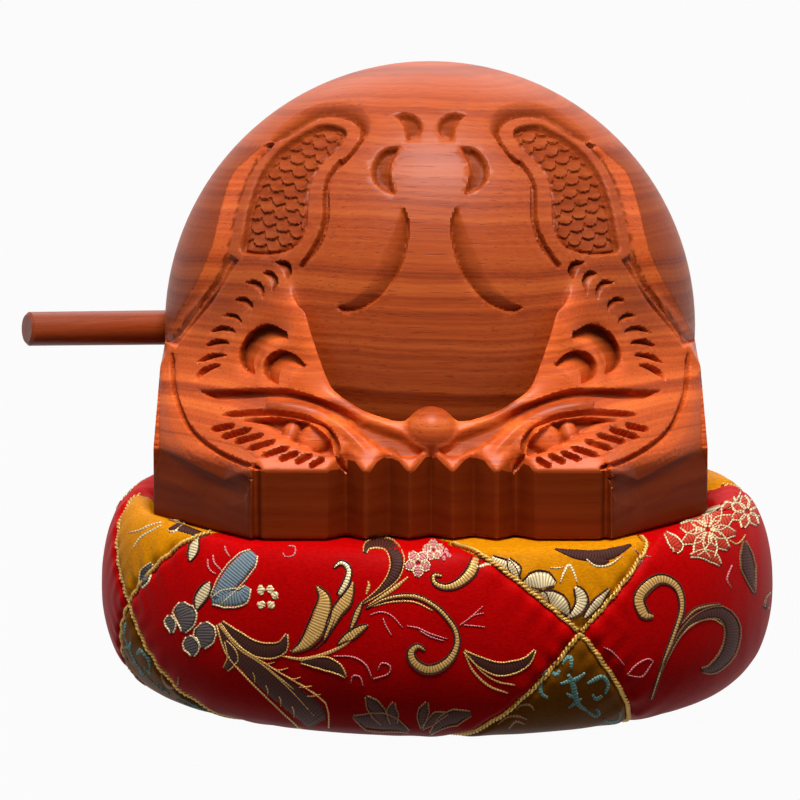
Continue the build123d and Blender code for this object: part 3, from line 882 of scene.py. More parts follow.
# Painted shade on faces that stand upright below the top of the front.
wall = ease((0.75 - np.abs(facing[:, 2])) / 0.2) * ease((FRONT_TOP + 2 * MM - centres[:, 2]) / (4 * MM))
wall *= centres[:, 1] < 0
store_mark(fish.data, "stain_and_shade", stain_and_shade)
store_mark(fish.data, "wear_and_highlight", wear_and_highlight)
store_mark(fish.data, "pale", pale)
store_mark(fish.data, "wall", wall, "FACE")
print("sharpness", np.round(np.percentile(sharp, [1, 10, 50, 90, 99]), 3))

# %% [markdown]
# ## Cushion
# A round cushion, stuffed firm and sewn from twelve squares: four red ones stand on their corners round
# the side, with gold ones between them above and below. It could be pushed into shape by hand, but a
# small cloth simulation gives the swell between the seams: the form starts a little too thin, the seams,
# the floor and the wood hold it, and pressure fills the rest.

# %% Cushion before stuffing
CUSHION_WAIST = np.array((0, 0, 32)) * MM
SEAT = 54.1 * MM
COVER_VOXEL = 4.5 * MM
COVER_SHIFT = np.array((2.0, 0, 0)) * MM
CUSHION_HALF_OUTLINE = [(0, 0), (66, 0), (78, 1.5), (88, 8), (93.5, 18), (95, 30), (94, 43), (90.5, 53),
                        (83, 59.5), (72, 62), (0, 62)]
FOOT_HALF = [(0, -70), (49, -70), (77, -28), (77, 0), (62, 22), (50, 36), (35, 45.5), (18, 52.5), (0, 55)]
foot_outline = np.array(FOOT_HALF + [(-x, y) for x, y in FOOT_HALF[-2:0:-1]]) * MM


def beyond_foot(coords):
    """Distance in plan from the wood's footprint, 0 under it."""
    plan = coords[:, :2]
    gap, _ = near_line(plan, np.vstack((foot_outline, foot_outline[:1])))
    return np.where(inside_outline(plan, foot_outline), 0, gap)


def under_wood(coords):
    """Height that the wood leaves free: the seat under it, rising beside and behind it."""
    rise = 1.0 * MM + 8 * MM * ease((coords[:, 1] + 62 * MM) / (45 * MM))
    return SEAT + rise * (1 - np.exp(-beyond_foot(coords) / (7 * MM)))


def spun(name, half_outline, steps):
    """A closed form turned about the upright axis."""
    bm = bmesh.new()
    verts = [bm.verts.new((r * MM, 0, z * MM)) for r, z in half_outline]
    edges = [bm.edges.new(pair) for pair in zip(verts, verts[1:])]
    bmesh.ops.spin(bm, geom=verts + edges, cent=(0, 0, 0), axis=(0, 0, 1), angle=2 * math.pi, steps=steps,
                   use_merge=True)
    bmesh.ops.remove_doubles(bm, verts=bm.verts, dist=0.01 * MM)
    bmesh.ops.recalc_face_normals(bm, faces=bm.faces)
    mesh = bpy.data.meshes.new(name)
    bm.to_mesh(mesh)
    bm.free()
    obj = bpy.data.objects.new(name, mesh)
    scene.collection.objects.link(obj)
    return obj


def press(coords):
    """Keeps points below the wood and above the floor."""
    top = under_wood(coords)
    upper = coords[:, 2] > CUSHION_WAIST[2]
    coords[:, 2] = np.where(upper, np.minimum(coords[:, 2], top), np.maximum(coords[:, 2], 0.15 * MM))
    return coords


cushion = spun("cushion_cover", [tuple(p) for p in smooth_line(CUSHION_HALF_OUTLINE[1:-1], 3)], 96)
bm = bmesh.new()
bm.from_mesh(cushion.data)
bmesh.ops.holes_fill(bm, edges=bm.edges)
bmesh.ops.recalc_face_normals(bm, faces=bm.faces)
bm.to_mesh(cushion.data)
bm.free()
remesh = cushion.modifiers.new("skin", "REMESH")
remesh.mode = "VOXEL"
remesh.voxel_size = COVER_VOXEL
applied(cushion)
coords = press(vertex_places(cushion.data) + COVER_SHIFT)
cushion.data.vertices.foreach_set("co", coords.ravel())
cushion.data.update()
print("cushion points", len(cushion.data.vertices))

# %% Seams
RED_AZIMUTHS = {"front": -20, "right": 70, "back": 160, "left": 250}
RED_CORNER_RADIUS = 37 * MM
SEAM_HELD = 2.4 * MM
WOOD_MARGIN = 1.5 * MM
UPPER_PART = 40 * MM
FLOOR_HELD = 0.6 * MM


def azimuth(degrees):
    """Level direction, from the front towards the right."""
    angle = math.radians(degrees)
    return np.array((math.sin(angle), -math.cos(angle), 0))


def unit(vector):
    """The same direction, one long."""
    return vector / np.linalg.norm(vector)


def seams_of(place):
    """The four edges of a red square: start direction, end direction and normal into the square."""
    middle = azimuth(RED_AZIMUTHS[place])
    edges = []
    for side in (-1, 1):
        for rise in (SEAT + 0.4 * MM - CUSHION_WAIST[2], -CUSHION_WAIST[2]):
            start = azimuth(RED_AZIMUTHS[place] + 45 * side)
            end = unit(middle * RED_CORNER_RADIUS + np.array((0, 0, rise)))
            normal = unit(np.cross(start, end))
            edges.append((start, end, normal if normal @ middle > 0 else -normal))
    return edges


def seam_marks(coords):
    """Distance to the nearest seam, place along it, and the cloth: 0 red, 0.5 lower gold, 1 upper gold."""
    away = coords - CUSHION_WAIST
    gap = np.full(len(coords), 1.0)
    along = np.zeros(len(coords))
    gold = np.ones(len(coords))
    for place in RED_AZIMUTHS:
        inside = np.ones(len(coords), bool)
        for start, end, normal in seams_of(place):
            side = away @ normal
            inside &= side > 0
            flat = away - side[:, None] * normal
            sideways = unit(end - (end @ start) * start)
            turn = np.arctan2(flat @ sideways, flat @ start)
            within = (turn > -0.03) & (turn < math.acos(start @ end) + 0.03)
            closer = within & (np.abs(side) < gap)
            gap[closer] = np.abs(side[closer])
            along[closer] = turn[closer] * np.linalg.norm(flat[closer], axis=1)
        gold[inside] = 0
    gold[(gold > 0) & (away[:, 2] < 0)] = 0.5
    return gap, along, gold


seam_gap, _, _ = seam_marks(coords)
beyond = beyond_foot(coords)
held = (seam_gap < SEAM_HELD) | (coords[:, 2] < FLOOR_HELD)
held |= (beyond < WOOD_MARGIN) & (coords[:, 2] > UPPER_PART)
print("held points", int(held.sum()))

# %% Stuffing
SWELL = 5.5 * MM
STUFFING_PRESSURE = 4.0
STUFFING_STEPS = 20
group = cushion.vertex_groups.new(name="held")
group.add(np.flatnonzero(held).tolist(), 1.0, "REPLACE")
cloth = cushion.modifiers.new("stuffing", "CLOTH")
cloth.settings.use_pressure = True
cloth.settings.uniform_pressure_force = STUFFING_PRESSURE
cloth.settings.vertex_group_mass = "held"
cloth.settings.effector_weights.gravity = 0
cloth.settings.quality = 6
cloth.collision_settings.use_self_collision = False
cloth.point_cache.frame_start, cloth.point_cache.frame_end = 1, STUFFING_STEPS
for step in range(1, STUFFING_STEPS + 1):
    scene.frame_set(step)
started = coords.copy()
applied(cushion)
scene.frame_set(1)
moved = vertex_places(cushion.data) - started
length = np.linalg.norm(moved, axis=1, keepdims=True)
moved *= np.minimum(1, SWELL / np.maximum(length, 1e-9))
coords = press(started + moved)
cushion.data.vertices.foreach_set("co", coords.ravel())
cushion.data.update()
print("swell, most and mean", round(float(length.max() / MM), 1), round(float(length.mean() / MM), 1))

# %% Sewn channels and puckers
CHANNEL_DEPTH, CHANNEL_WIDTH = 1.5 * MM, 1.5 * MM
PUCKER_DEPTH, PUCKER_REACH, PUCKER_LENGTH = 0.35 * MM, 5 * MM, 6.5 * MM
even = cushion.modifiers.new("even", "SMOOTH")
even.factor = 0.5
even.iterations = 3
finer = cushion.modifiers.new("finer", "SUBSURF")
finer.levels = finer.render_levels = 2
applied(cushion)
coords = press(vertex_places(cushion.data))
normals = vertex_normals(cushion.data)
gap, along, gold = seam_marks(coords)
channel = CHANNEL_DEPTH * np.exp(-(gap / CHANNEL_WIDTH) ** 2)
ripple = np.sin(along * 2 * math.pi / PUCKER_LENGTH + 3 * np.sin(along / (11 * MM)))
pucker = PUCKER_DEPTH * np.exp(-gap / PUCKER_REACH) * ripple
free = ease(beyond_foot(coords) / (6 * MM)) + (coords[:, 2] < 45 * MM)
coords -= normals * ((channel + pucker) * np.clip(free, 0, 1))[:, None]
coords = press(coords)
cushion.data.vertices.foreach_set("co", coords.ravel())
cushion.data.update()
cushion.data.shade_smooth()
store_mark(cushion.data, "gold", gold)
cover_nodes = [f"{kind}_{place}" for kind in ("red_square", "gold_top_square", "gold_base_square")
               for place in RED_AZIMUTHS]
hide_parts("cushion_filling", *cover_nodes)
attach(cushion, "cushion")
print("cushion from", np.round(coords.min(axis=0) / MM, 1), "to", np.round(coords.max(axis=0) / MM, 1))

# %% [markdown]
# ## Satin
# The squares are red, gold and brown-gold satin. The cover could be cut apart at the seams, but one
# material that reads a mark on the cover keeps the skin whole and follows the seams' own line.

# %% Satin
def satin(name):
    """Red, gold and brown-gold satin, told apart by the mark on the cover, with a fine weave."""
    material, nodes, links = new_material(name)
    shader = nodes["Principled BSDF"]
    where = nodes.new("ShaderNodeTexCoord").outputs["Object"]
    weave = noise(nodes, links, where, 900.0, 2.0, 0.6, (1, 1, 2.5))
    cloud = noise(nodes, links, where, 22.0, 2.0)
    red = ramp(nodes, links, weave, (0.35, (0.46, 0.0, 0.001)), (0.65, (0.60, 0.001, 0.001)))
    yellow = ramp(nodes, links, weave, (0.35, (0.62, 0.21, 0.001)), (0.65, (0.80, 0.29, 0.002)))
    cloth = mark(nodes, "gold")
    brown = mix_colour(nodes, links, 1.0, yellow, (0.28, 0.24, 0.5), "MULTIPLY")
    colour = mix_colour(nodes, links, ramp(nodes, links, cloth, (0.2, 0.0), (0.3, 1.0)), red, brown)
    colour = mix_colour(nodes, links, ramp(nodes, links, cloth, (0.7, 0.0), (0.8, 1.0)), colour, yellow)
    shade = ramp(nodes, links, cloud, (0.3, 0.82), (0.7, 1.0))
    colour = mix_colour(nodes, links, 1.0, colour, shade, "MULTIPLY")
    links.new(colour, shader.inputs["Base Color"])
    shader.inputs["Roughness"].default_value = 0.5
    shader.inputs["Specular IOR Level"].default_value = 0.03
    links.new(bump(nodes, links, weave, 0.08 * MM, 0.6), shader.inputs["Normal"])
    return material


cushion.data.materials.clear()
cushion.data.materials.append(satin("satin"))
print("satin on", cushion.name)

# %% [markdown]
# ## Seam cords
# A thin gold cord of two twisted strands lies in every sewn channel. Each strand is a small tube that
# winds about the seam's line, which is found by looking at the cover along the seam's plane.

# %% Seam cords
CORD_STRAND = 0.42 * MM
CORD_TURN = 2.6 * MM
CORD_LIFT, STRAND_OFFSET = 0.45 * MM, 0.4 * MM
OUTSIDE = 0.2
cover = BVHTree.FromObject(cushion, bpy.context.evaluated_depsgraph_get())


def seam_line(start, end):
    """Points and outward directions along one seam, where it is free of wood and floor."""
    sideways = unit(end - (end @ start) * start)
    points, ups = [], []
    for turn in np.linspace(0.004, math.acos(start @ end), 60):
        towards_out = Vector(start * math.cos(turn) + sideways * math.sin(turn))
        hit, normal, _, _ = cover.ray_cast(Vector(CUSHION_WAIST) + towards_out * OUTSIDE, -towards_out)
        if hit is None or hit.z < 1.2 * MM:
            break
        if hit.z > UPPER_PART and beyond_foot(np.array([hit]))[0] < WOOD_MARGIN:
            break
        points.append(np.array(hit))
        ups.append(np.array(normal))
    return np.array(points), np.array(ups)


def spaced(points, others, step):
    """Evenly spaced points along a line, with their directions."""
    reach = np.concatenate(([0], np.cumsum(np.linalg.norm(np.diff(points, axis=0), axis=1))))
    at = np.linspace(0, reach[-1], max(int(reach[-1] / step), 2))
    return (np.column_stack([np.interp(at, reach, points[:, k]) for k in range(3)]),
            np.column_stack([np.interp(at, reach, others[:, k]) for k in range(3)]), at)


def add_tube(bm, points, radius, sides):
    """Tube through points, with closed ends."""
    ahead = np.gradient(points, axis=0)
    rings = []
    for point, direction in zip(points, ahead):
        direction = unit(direction)
        across = unit(np.cross(direction, (0.31, 0.17, 0.93)))
        lift = np.cross(direction, across)
        rings.append([bm.verts.new(point + radius * (math.cos(a) * across + math.sin(a) * lift))
                      for a in np.linspace(0, 2 * math.pi, sides, endpoint=False)])
    for low, high in zip(rings, rings[1:]):
        for k in range(sides):
            bm.faces.new((low[k], low[(k + 1) % sides], high[(k + 1) % sides], high[k]))
    bm.faces.new(rings[0][::-1])
    bm.faces.new(rings[-1])


def cord_material():
    """Gold thread with a dull metal shine."""
    material, nodes, _ = new_material("gold_thread")
    shader = nodes["Principled BSDF"]
    shader.inputs["Base Color"].default_value = (0.62, 0.36, 0.06, 1)
    shader.inputs["Roughness"].default_value = 0.42
    shader.inputs["Metallic"].default_value = 0.35
    return material


gold_thread = cord_material()
for place in RED_AZIMUTHS:
    bm = bmesh.new()
    for start, end, _ in seams_of(place):
        points, ups = seam_line(start, end)
        if len(points) < 4:
            continue
        points, ups, at = spaced(points, ups, CORD_TURN / 8)
        points += ups * CORD_LIFT
        across = np.cross(np.gradient(points, axis=0), ups)
        across /= np.linalg.norm(across, axis=1, keepdims=True)
        for phase in (0, math.pi):
            wind = at * 2 * math.pi / CORD_TURN + phase
            strand = points + STRAND_OFFSET * (np.cos(wind)[:, None] * across + np.sin(wind)[:, None] * ups)
            add_tube(bm, strand, CORD_STRAND, 5)
    bmesh.ops.recalc_face_normals(bm, faces=bm.faces)
    mesh = bpy.data.meshes.new(f"twisted_cord_{place}")
    bm.to_mesh(mesh)
    bm.free()
    mesh.shade_smooth()
    mesh.materials.append(gold_thread)
    cord = bpy.data.objects.new(mesh.name, mesh)
    scene.collection.objects.link(cord)
    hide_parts(f"seam_cord_{place}")
    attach(cord, "cushion")
    print(cord.name, len(mesh.polygons), "faces")

# %% [markdown]
# ## Brocade
# Woven scrolls, leaves and flowers cover the squares. A printed picture would be flat, so every figure is
# made as the weaver makes it: a raised strip of thread that swells and tapers along a line, with a fine
# line of another colour round it. The lines are drawn as seen from the front and laid on the cover; the
# squares that cannot be seen from there get the same figures, turned about the cushion's axis.

# %% Figures on the red squares
def petals(centre, count, first, inner, outer):
    """Lines of a flower's petals, from its middle out, in whole units; first is a turn in degrees."""
    reach = np.linspace(inner, outer, 4)[:, None]
    turns = np.radians(first + 360 / count * np.arange(count))
    return [np.round(centre + reach * (math.cos(turn), math.sin(turn))) for turn in turns]


SCROLL = [(366, 608), (388, 598), (414, 596), (435, 606), (449, 620), (456, 632), (457, 645), (450, 659),
          (437, 668), (425, 669), (414, 662), (411, 652), (418, 646), (425, 650)]
# Each kind of figure: thread, edging, half widths along it, and the lines that it is laid on.
FRONT_RED = (
    ("blue", "cream", (6.5, 10.8, 12.1, 10.4, 4.8),
     [(216, 600), (226, 586), (237, 572), (248, 560), (254, 553)]),
    ("blue", "cream", (3.3, 8.7, 9.5, 8.7, 3.3),
     [(212, 601), (223, 599), (234, 598), (242, 596), (248, 587)]),
    ("grey", "cream", (2.2, 10.4, 11.3, 8.7, 2.2),
     [(182, 602), (183, 609), (186, 616), (186, 624), (184, 632)]),
    ("grey", "cream", (2.2, 9.8, 11.3, 9.1, 2.2),
     [(204, 622), (205, 628), (205, 635), (205, 641), (203, 648)]),
    ("grey", "cream", (1.7, 7.4, 8.2, 6.1, 1.7),
     [(188, 636), (190, 641), (192, 647), (193, 651), (193, 656)]),
    ("grey", "cream", (1.3, 5.2, 5.6, 3.9, 1.3),
     [(170, 615), (170, 620), (171, 624), (172, 628), (172, 633)]),
    ("cream", "brown", (1.3, 5.6, 6.5, 5.2, 1.3),
     [(197, 609), (199, 601), (203, 594), (207, 587), (210, 582)]),
    ("cream", None, (1.7, 5.2, 4.3, 1.7),
     [(260, 585), (261, 590), (261, 592), (262, 595)],
     [(270, 585), (270, 589), (270, 591), (269, 593)],
     [(278, 593), (275, 595), (274, 597), (273, 598)],
     [(274, 608), (271, 605), (270, 604), (268, 602)],
     [(261, 609), (261, 605), (262, 603), (262, 601)]),
    ("pink", None, (0.7, 1.1, 0.9, 0.7),
     [(208, 559), (208, 566), (211, 571), (216, 574)],
     [(213, 555), (214, 562), (218, 567), (222, 571)]),
    ("pink", None, (0.7, 1.1, 0.7), [(225, 546), (226, 551), (230, 557)]),
    ("brown", "gold", (1.3, 5.6, 7.4, 7.8, 6.5, 0.9),
     [(222, 622), (238, 637), (254, 648), (270, 651), (282, 647), (287, 634)]),
    ("brown", "gold", (1.3, 6.9, 10.4, 13.4, 16.9, 18.4, 8.7),
     [(218, 624), (231, 648), (249, 665), (270, 682), (294, 700), (312, 715), (321, 731)]),
    ("gold", None, (0.7, 1.3, 1.3, 1.1, 0.7), [(218, 624), (238, 648), (262, 664), (288, 687), (314, 715)]),
    ("gold", None, (0.7, 1.1, 1.1, 0.7), [(223, 628), (244, 650), (270, 670), (294, 689)]),
    ("gold", None, (0.7, 0.9, 0.4),
     [(262, 663), (268, 664), (275, 662)],
     [(275, 670), (281, 670), (288, 668)],
     [(288, 678), (294, 679), (301, 677)],
     [(299, 687), (305, 687), (312, 686)],
     [(307, 696), (313, 696), (321, 694)],
     [(253, 672), (255, 677), (255, 682)],
     [(266, 685), (268, 690), (268, 695)],
     [(279, 696), (281, 700), (281, 706)],
     [(292, 706), (294, 711), (294, 717)]),
    ("brown", "gold", (1.1, 4.3, 5.6, 3), [(226, 641), (231, 650), (233, 659), (226, 669)]),
    ("brown", "gold", (1.1, 5.2, 6.9, 5.2, 0.9),
     [(301, 662), (314, 662), (327, 664), (338, 669), (346, 677)]),
    ("gold", "brown", (1.1, 6.5, 10, 9.5, 6.5, 0.9),
     [(292, 652), (305, 644), (315, 631), (322, 613), (324, 598), (317, 586)]),
    ("gold", "brown", (0.9, 4.8, 6.5, 7.4, 4.3, 0.9),
     [(324, 641), (331, 624), (338, 611), (345, 602), (350, 592), (353, 582)]),
    ("gold", "brown", (0.9, 3.9, 5.2, 3.5, 0.9),
     [(338, 644), (346, 638), (354, 633), (362, 628), (368, 625)]),
    ("gold", "brown", (0.9, 2.6, 3, 0.9), [(350, 631), (354, 621), (358, 611), (362, 602)]),
    ("cream", "brown", (2.6, 3.5, 3, 2.6, 2.2, 0.9),
     [(339, 595), (346, 583), (349, 572), (346, 565), (340, 563), (334, 568)]),
    ("gold", None, (0.9, 2, 2.2, 2, 0.9), [(282, 656), (301, 659), (322, 655), (344, 645), (364, 627)]),
    ("gold", None, (0.7, 1.3, 1.3, 0.7), [(290, 651), (301, 646), (309, 641), (316, 635)]),
    ("brown", None, (0.7, 1.5, 1.5, 0.7), [(314, 650), (324, 641), (332, 626), (338, 611)]),
    ("brown", "gold", (0.9, 3, 6.1, 7.4, 6.5, 5.2, 3.9, 1.7),
     [(363, 603), (381, 590), (394, 575), (397, 559), (390, 546), (378, 543), (368, 546), (365, 553)]),
    ("gold", None, (0.9, 2.2, 2.6, 0.9), [(365, 608), (383, 596), (396, 587), (408, 577)]),
    ("gold", None, (0.7, 2.2, 1.7, 0.7), [(366, 595), (368, 589), (369, 585), (368, 581)]),
    ("pink", "cream", (1.8, 5.2, 4.7, 1.6), *petals((417.9, 563.4), 5, 20, 2, 13.2)),
    ("pink", "cream", (1.4, 4.1, 3.7, 1.2), *petals((433.5, 550.4), 5, 50, 1.5, 10.5)),
    ("pink", None, (1.1, 3, 2.7, 0.9), *petals((445, 554.7), 4, 10, 1, 6.7)),
    ("gold", "brown", (0.8, 1.8, 2.2, 2.2, 2.4, 2.6, 3, 4.2, 5, 5, 4.6, 4, 2.6, 1.2), SCROLL),
    ("brown", None, (0.4, 0.8, 1, 1, 1, 1, 1.2, 1.6, 2, 2, 2, 1.6, 1, 0.4), SCROLL),
    ("gold", None, (0.7, 1.1, 1.1, 0.9), [(370, 607), (392, 602), (414, 602), (433, 611)]),
    ("pink", None, (0.7, 0.9, 0.9, 0.4),
     [(370, 615), (381, 612), (392, 616), (403, 628)],
     [(383, 618), (386, 626), (392, 636)],
     [(407, 626), (418, 628), (431, 634), (448, 639)],
     [(420, 631), (431, 637), (444, 641)]),
    ("pink", None, (0.4, 0.9, 0.9, 0.7), [(333, 656), (353, 657), (366, 665), (372, 678)]),
    ("pink", None, (0.7, 0.9, 0.9, 0.9, 0.7), [(373, 679), (388, 674), (390, 666), (382, 663), (378, 670)]),
    ("pink", None, (0.7, 0.9, 0.9, 0.7), [(363, 686), (360, 677), (353, 676), (351, 683)]),
    ("pink", None, (0.7, 0.9, 0.9, 0.9, 0.7), [(283, 553), (286, 557), (294, 555), (295, 547), (288, 546)]),
    ("brown", "dull", (0.9, 8.7, 9.5, 6.5, 1.3),
     [(353, 716), (368, 721), (383, 722), (396, 725), (409, 731)]),
    ("brown", "dull", (4.3, 7.4, 6.5, 0.9), [(385, 722), (379, 713), (372, 704), (366, 696)]),
    ("brown", "dull", (3.5, 5.6, 4.8, 0.9), [(394, 723), (393, 715), (392, 709), (394, 702)]),
    ("brown", "dull", (1.1, 4.8, 5.6, 1.1), [(422, 728), (422, 718), (424, 710), (427, 702)]),
    ("brown", "dull", (1.1, 4.3, 4.8, 1.1), [(422, 728), (431, 721), (437, 716), (448, 713)]),
    ("gold", "brown", (4.5, 5.9, 4.5, 3.2, 2.5, 2, 1.4),
     [(476, 558), (471, 572), (459, 583), (446, 587), (435, 583), (434, 575), (442, 576)]),
    ("cream", None, (0.9, 2, 1.8, 0.9), [(476, 567), (482, 566), (487, 564), (491, 565)]),
    ("brown", "gold", (0.9, 5, 6.8, 6.3, 4.1, 0.9),
     [(464, 651), (480, 662), (498, 669), (514, 667), (527, 661), (535, 650)]),
    ("gold", None, (0.7, 1.4, 1.4, 0.9), [(464, 652), (473, 671), (489, 686), (508, 693)]),
    ("gold", None, (0.7, 1.1, 1.1, 0.7), [(466, 651), (479, 669), (496, 681), (515, 685)]),
    ("pink", None, (0.7, 0.9, 0.5),
     [(459, 626), (471, 617), (483, 606)],
     [(464, 625), (475, 626), (485, 627)],
     [(471, 617), (475, 615), (484, 613)]),
    ("brown", "dull", (1.1, 6.8, 8.2, 2.3), [(430, 733), (444, 721), (455, 717), (471, 713)]),
)

TENDRIL = [(651, 699), (664, 660), (676, 628), (682, 606), (677, 587), (663, 579), (650, 584), (639, 598),
           (644, 614), (653, 616)]
RIGHT_RED = (
    ("gold", "brown", (0.9, 1.8, 2.3, 2.7, 3.6, 5, 5.9, 5.9, 5.4, 1.8), TENDRIL),
    ("brown", None, (0.5, 0.7, 0.7, 0.9, 1.1, 1.8, 2, 2, 1.8, 0.7), TENDRIL),
    ("brown", "dull", (0.9, 1.8, 4.1, 6.8, 8.2, 7.7, 5.4, 1.8),
     [(660, 671), (679, 635), (699, 617), (721, 613), (732, 628), (728, 652), (713, 668), (701, 670)]),
    ("gold", None, (0.7, 0.9, 0.9, 0.7), [(675, 644), (690, 626), (711, 619), (724, 626)]),
    ("gold", "brown", (0.7, 1.6, 1.6, 0.7), [(679, 626), (693, 611), (706, 606), (720, 604)]),
    ("orange", "cream", (2.4, 6.8, 6.1, 2), *petals((707.35, 530), 10, 8, 4.15, 28.04)),
    ("orange", "cream", (1.6, 4.5, 4.1, 1.4),
     *petals((707.33, 530), 6, 30, 2.07, 14.77), *petals((747, 511.8), 7, 0, 2.3, 16.5)),
    ("orange", "cream", (1.4, 5.4, 6.3, 1.8), [(665, 533), (672, 540), (677, 547), (675, 553)]),
    ("orange", "cream", (1.4, 4.5, 5.4, 1.4), [(690, 556), (702, 554), (713, 558), (720, 565)]),
    ("brown", "dull", (1.4, 6.3, 7.7, 4.5, 0.7),
     [(744, 541), (746, 555), (748, 568), (751, 581), (754, 593)]),
    ("gold", None, (0.7, 1.1, 0.9, 0.7), [(729, 540), (736, 544), (742, 540), (745, 535)]),
    ("brown", "dull", (1.4, 5.4, 6.8, 2.3), [(765, 608), (770, 601), (775, 597), (779, 592)]),
    ("pink", None, (0.7, 0.9, 0.5),
     [(634, 549), (641, 555), (651, 557)],
     [(637, 567), (642, 561), (646, 552)]),
    ("pink", None, (0.7, 0.9, 0.7), [(732, 565), (727, 579), (731, 588)]),
    ("pink", None, (0.5, 0.9, 0.9, 0.7),
     [(603, 647), (611, 651), (618, 658), (624, 665)],
     [(627, 675), (636, 665), (647, 659), (653, 661)],
     [(653, 661), (647, 671), (641, 677), (627, 675)]),
)
print("kinds of figures on red", len(FRONT_RED) + len(RIGHT_RED))

# %% Figures on the gold squares
GOLD_TOP = (
    ("cream", "brown", (1.8, 5.9, 7.2, 5.4, 1.8),
     [(492, 557), (499, 563), (506, 567), (513, 573), (519, 580)]),
    ("cream", "brown", (1.8, 5, 5.9, 1.8), [(508, 559), (512, 565), (516, 570), (518, 576)]),
    ("cream", "brown", (3.2, 10, 10.9, 9.1, 2.7),
     [(523, 584), (531, 583), (539, 581), (547, 581), (555, 584)]),
    ("cream", "brown", (2.3, 7.7, 9.1, 6.8, 1.8),
     [(541, 593), (550, 597), (558, 602), (564, 608), (569, 615)]),
    ("cream", "brown", (1.8, 5.4, 6.8, 5.4, 1.8),
     [(567, 618), (577, 611), (582, 601), (579, 592), (575, 587)]),
    ("cream", "brown", (1.4, 4.1, 5, 3.2, 1.1),
     [(584, 618), (591, 610), (598, 602), (603, 596), (609, 589)]),
    ("gold", "brown", (1.8, 5, 5, 1.8), [(530, 588), (536, 593), (543, 597), (548, 606)]),
    ("cream", None, (0.7, 1.6, 1.8, 1.6, 0.7),
     [(560, 583), (564, 573), (569, 565), (574, 573), (577, 583)]),
    ("cream", None, (0.5, 1.1, 0.5), [(550, 568), (557, 568), (564, 567)]),
    ("brown", None, (1.1, 5.9, 7.2, 6.8, 1.8),
     [(555, 549), (575, 554), (595, 556), (613, 553), (631, 545)]),
    ("brown", None, (2.3, 5, 4.5, 0.9), [(588, 557), (596, 561), (603, 562), (609, 561)]),
    ("cream", None, (0.7, 1.4, 1.4, 0.7), [(586, 559), (596, 566), (609, 565), (622, 556)]),
)

GOLD_BASE = (
    ("teal", None, (1.4, 2.3, 2.7, 2.3, 2.7, 1.8),
     [(548, 698), (541, 693), (541, 681), (548, 671), (556, 675), (560, 670)]),
    ("teal", None, (1.4, 2.7, 3.2, 1.4), [(562, 665), (566, 658), (571, 659), (571, 669)]),
    ("teal", None, (1.4, 2.7, 2.7, 1.4), [(560, 684), (570, 681), (577, 679), (585, 673)]),
    ("teal", None, (1.8, 3.6, 3.6, 2.7, 1.8), [(568, 674), (573, 685), (575, 696), (579, 705), (586, 710)]),
    ("teal", None, (1.4, 2.7, 2.7, 2.3, 1.4), [(587, 684), (596, 679), (603, 677), (608, 685), (605, 694)]),
    ("teal", None, (1.4, 2.3, 1.8), [(592, 694), (596, 699), (602, 696)]),
    ("teal", None, (1.1, 2, 2, 1.1), [(586, 710), (595, 716), (599, 713), (596, 708)]),
    ("teal", None, (0.9, 1.8, 1.8, 0.9), [(603, 719), (611, 722), (619, 719), (620, 711)]),
    ("teal", None, (0.9, 2.3, 0.9),
     [(566, 693), (571, 696), (578, 693)],
     [(568, 708), (575, 703), (582, 698)]),
    ("dull", None, (0.7, 1.6, 1.6, 0.7),
     [(498, 724), (507, 717), (518, 716), (527, 719)],
     [(516, 710), (521, 705), (530, 705), (534, 710)]),
    ("dull", None, (0.7, 1.6, 0.7), [(509, 728), (516, 721), (525, 724)]),
)

GOLD_LEFT = (
    ("grey", "cream", (1.3, 4.8, 5.6, 3.9, 1.1),
     [(141, 588), (144, 581), (146, 573), (149, 568), (152, 563)]),
    ("cream", None, (0.4, 1.1, 1.1, 0.4),
     [(129, 533), (140, 530), (151, 525), (162, 522)],
     [(132, 550), (140, 538), (151, 531), (162, 525)]),
    ("cream", "brown", (1.3, 4.8, 5.6, 3.5, 1.1),
     [(190, 561), (192, 554), (194, 547), (196, 542), (199, 536)]),
    ("brown", None, (1.1, 4.3, 5.6, 4.8, 1.1),
     [(169, 529), (177, 527), (186, 529), (197, 533), (208, 536)]),
    ("cream", None, (0.4, 1.3, 1.3, 0.4), [(167, 530), (173, 532), (179, 528), (186, 522)]),
    ("dull", None, (0.7, 1.5, 1.7, 1.5, 0.7), [(165, 672), (162, 677), (169, 687), (177, 686), (179, 676)]),
)
print("kinds of figures on gold", len(GOLD_TOP) + len(GOLD_BASE) + len(GOLD_LEFT))

# %% Laying the figures on the cover
THREADS = {"gold": (0.60, 0.34, 0.10), "cream": (0.78, 0.60, 0.34), "brown": (0.055, 0.012, 0.007),
           "dull": (0.20, 0.085, 0.03), "blue": (0.20, 0.26, 0.30), "grey": (0.13, 0.105, 0.10),
           "pink": (0.62, 0.20, 0.20), "teal": (0.15, 0.30, 0.26), "orange": (0.52, 0.035, 0.012)}
SHINY_THREADS = ("gold", "cream", "dull")
ACROSS = np.array((-1.0, -0.55, 0.0, 0.55, 1.0))
STITCH_LIFT, STITCH_RISE = 0.04 * MM, 0.22 * MM
EDGING_HALF, EDGING_LIFT, EDGING_RISE = 0.9, 0.14 * MM, 0.2 * MM


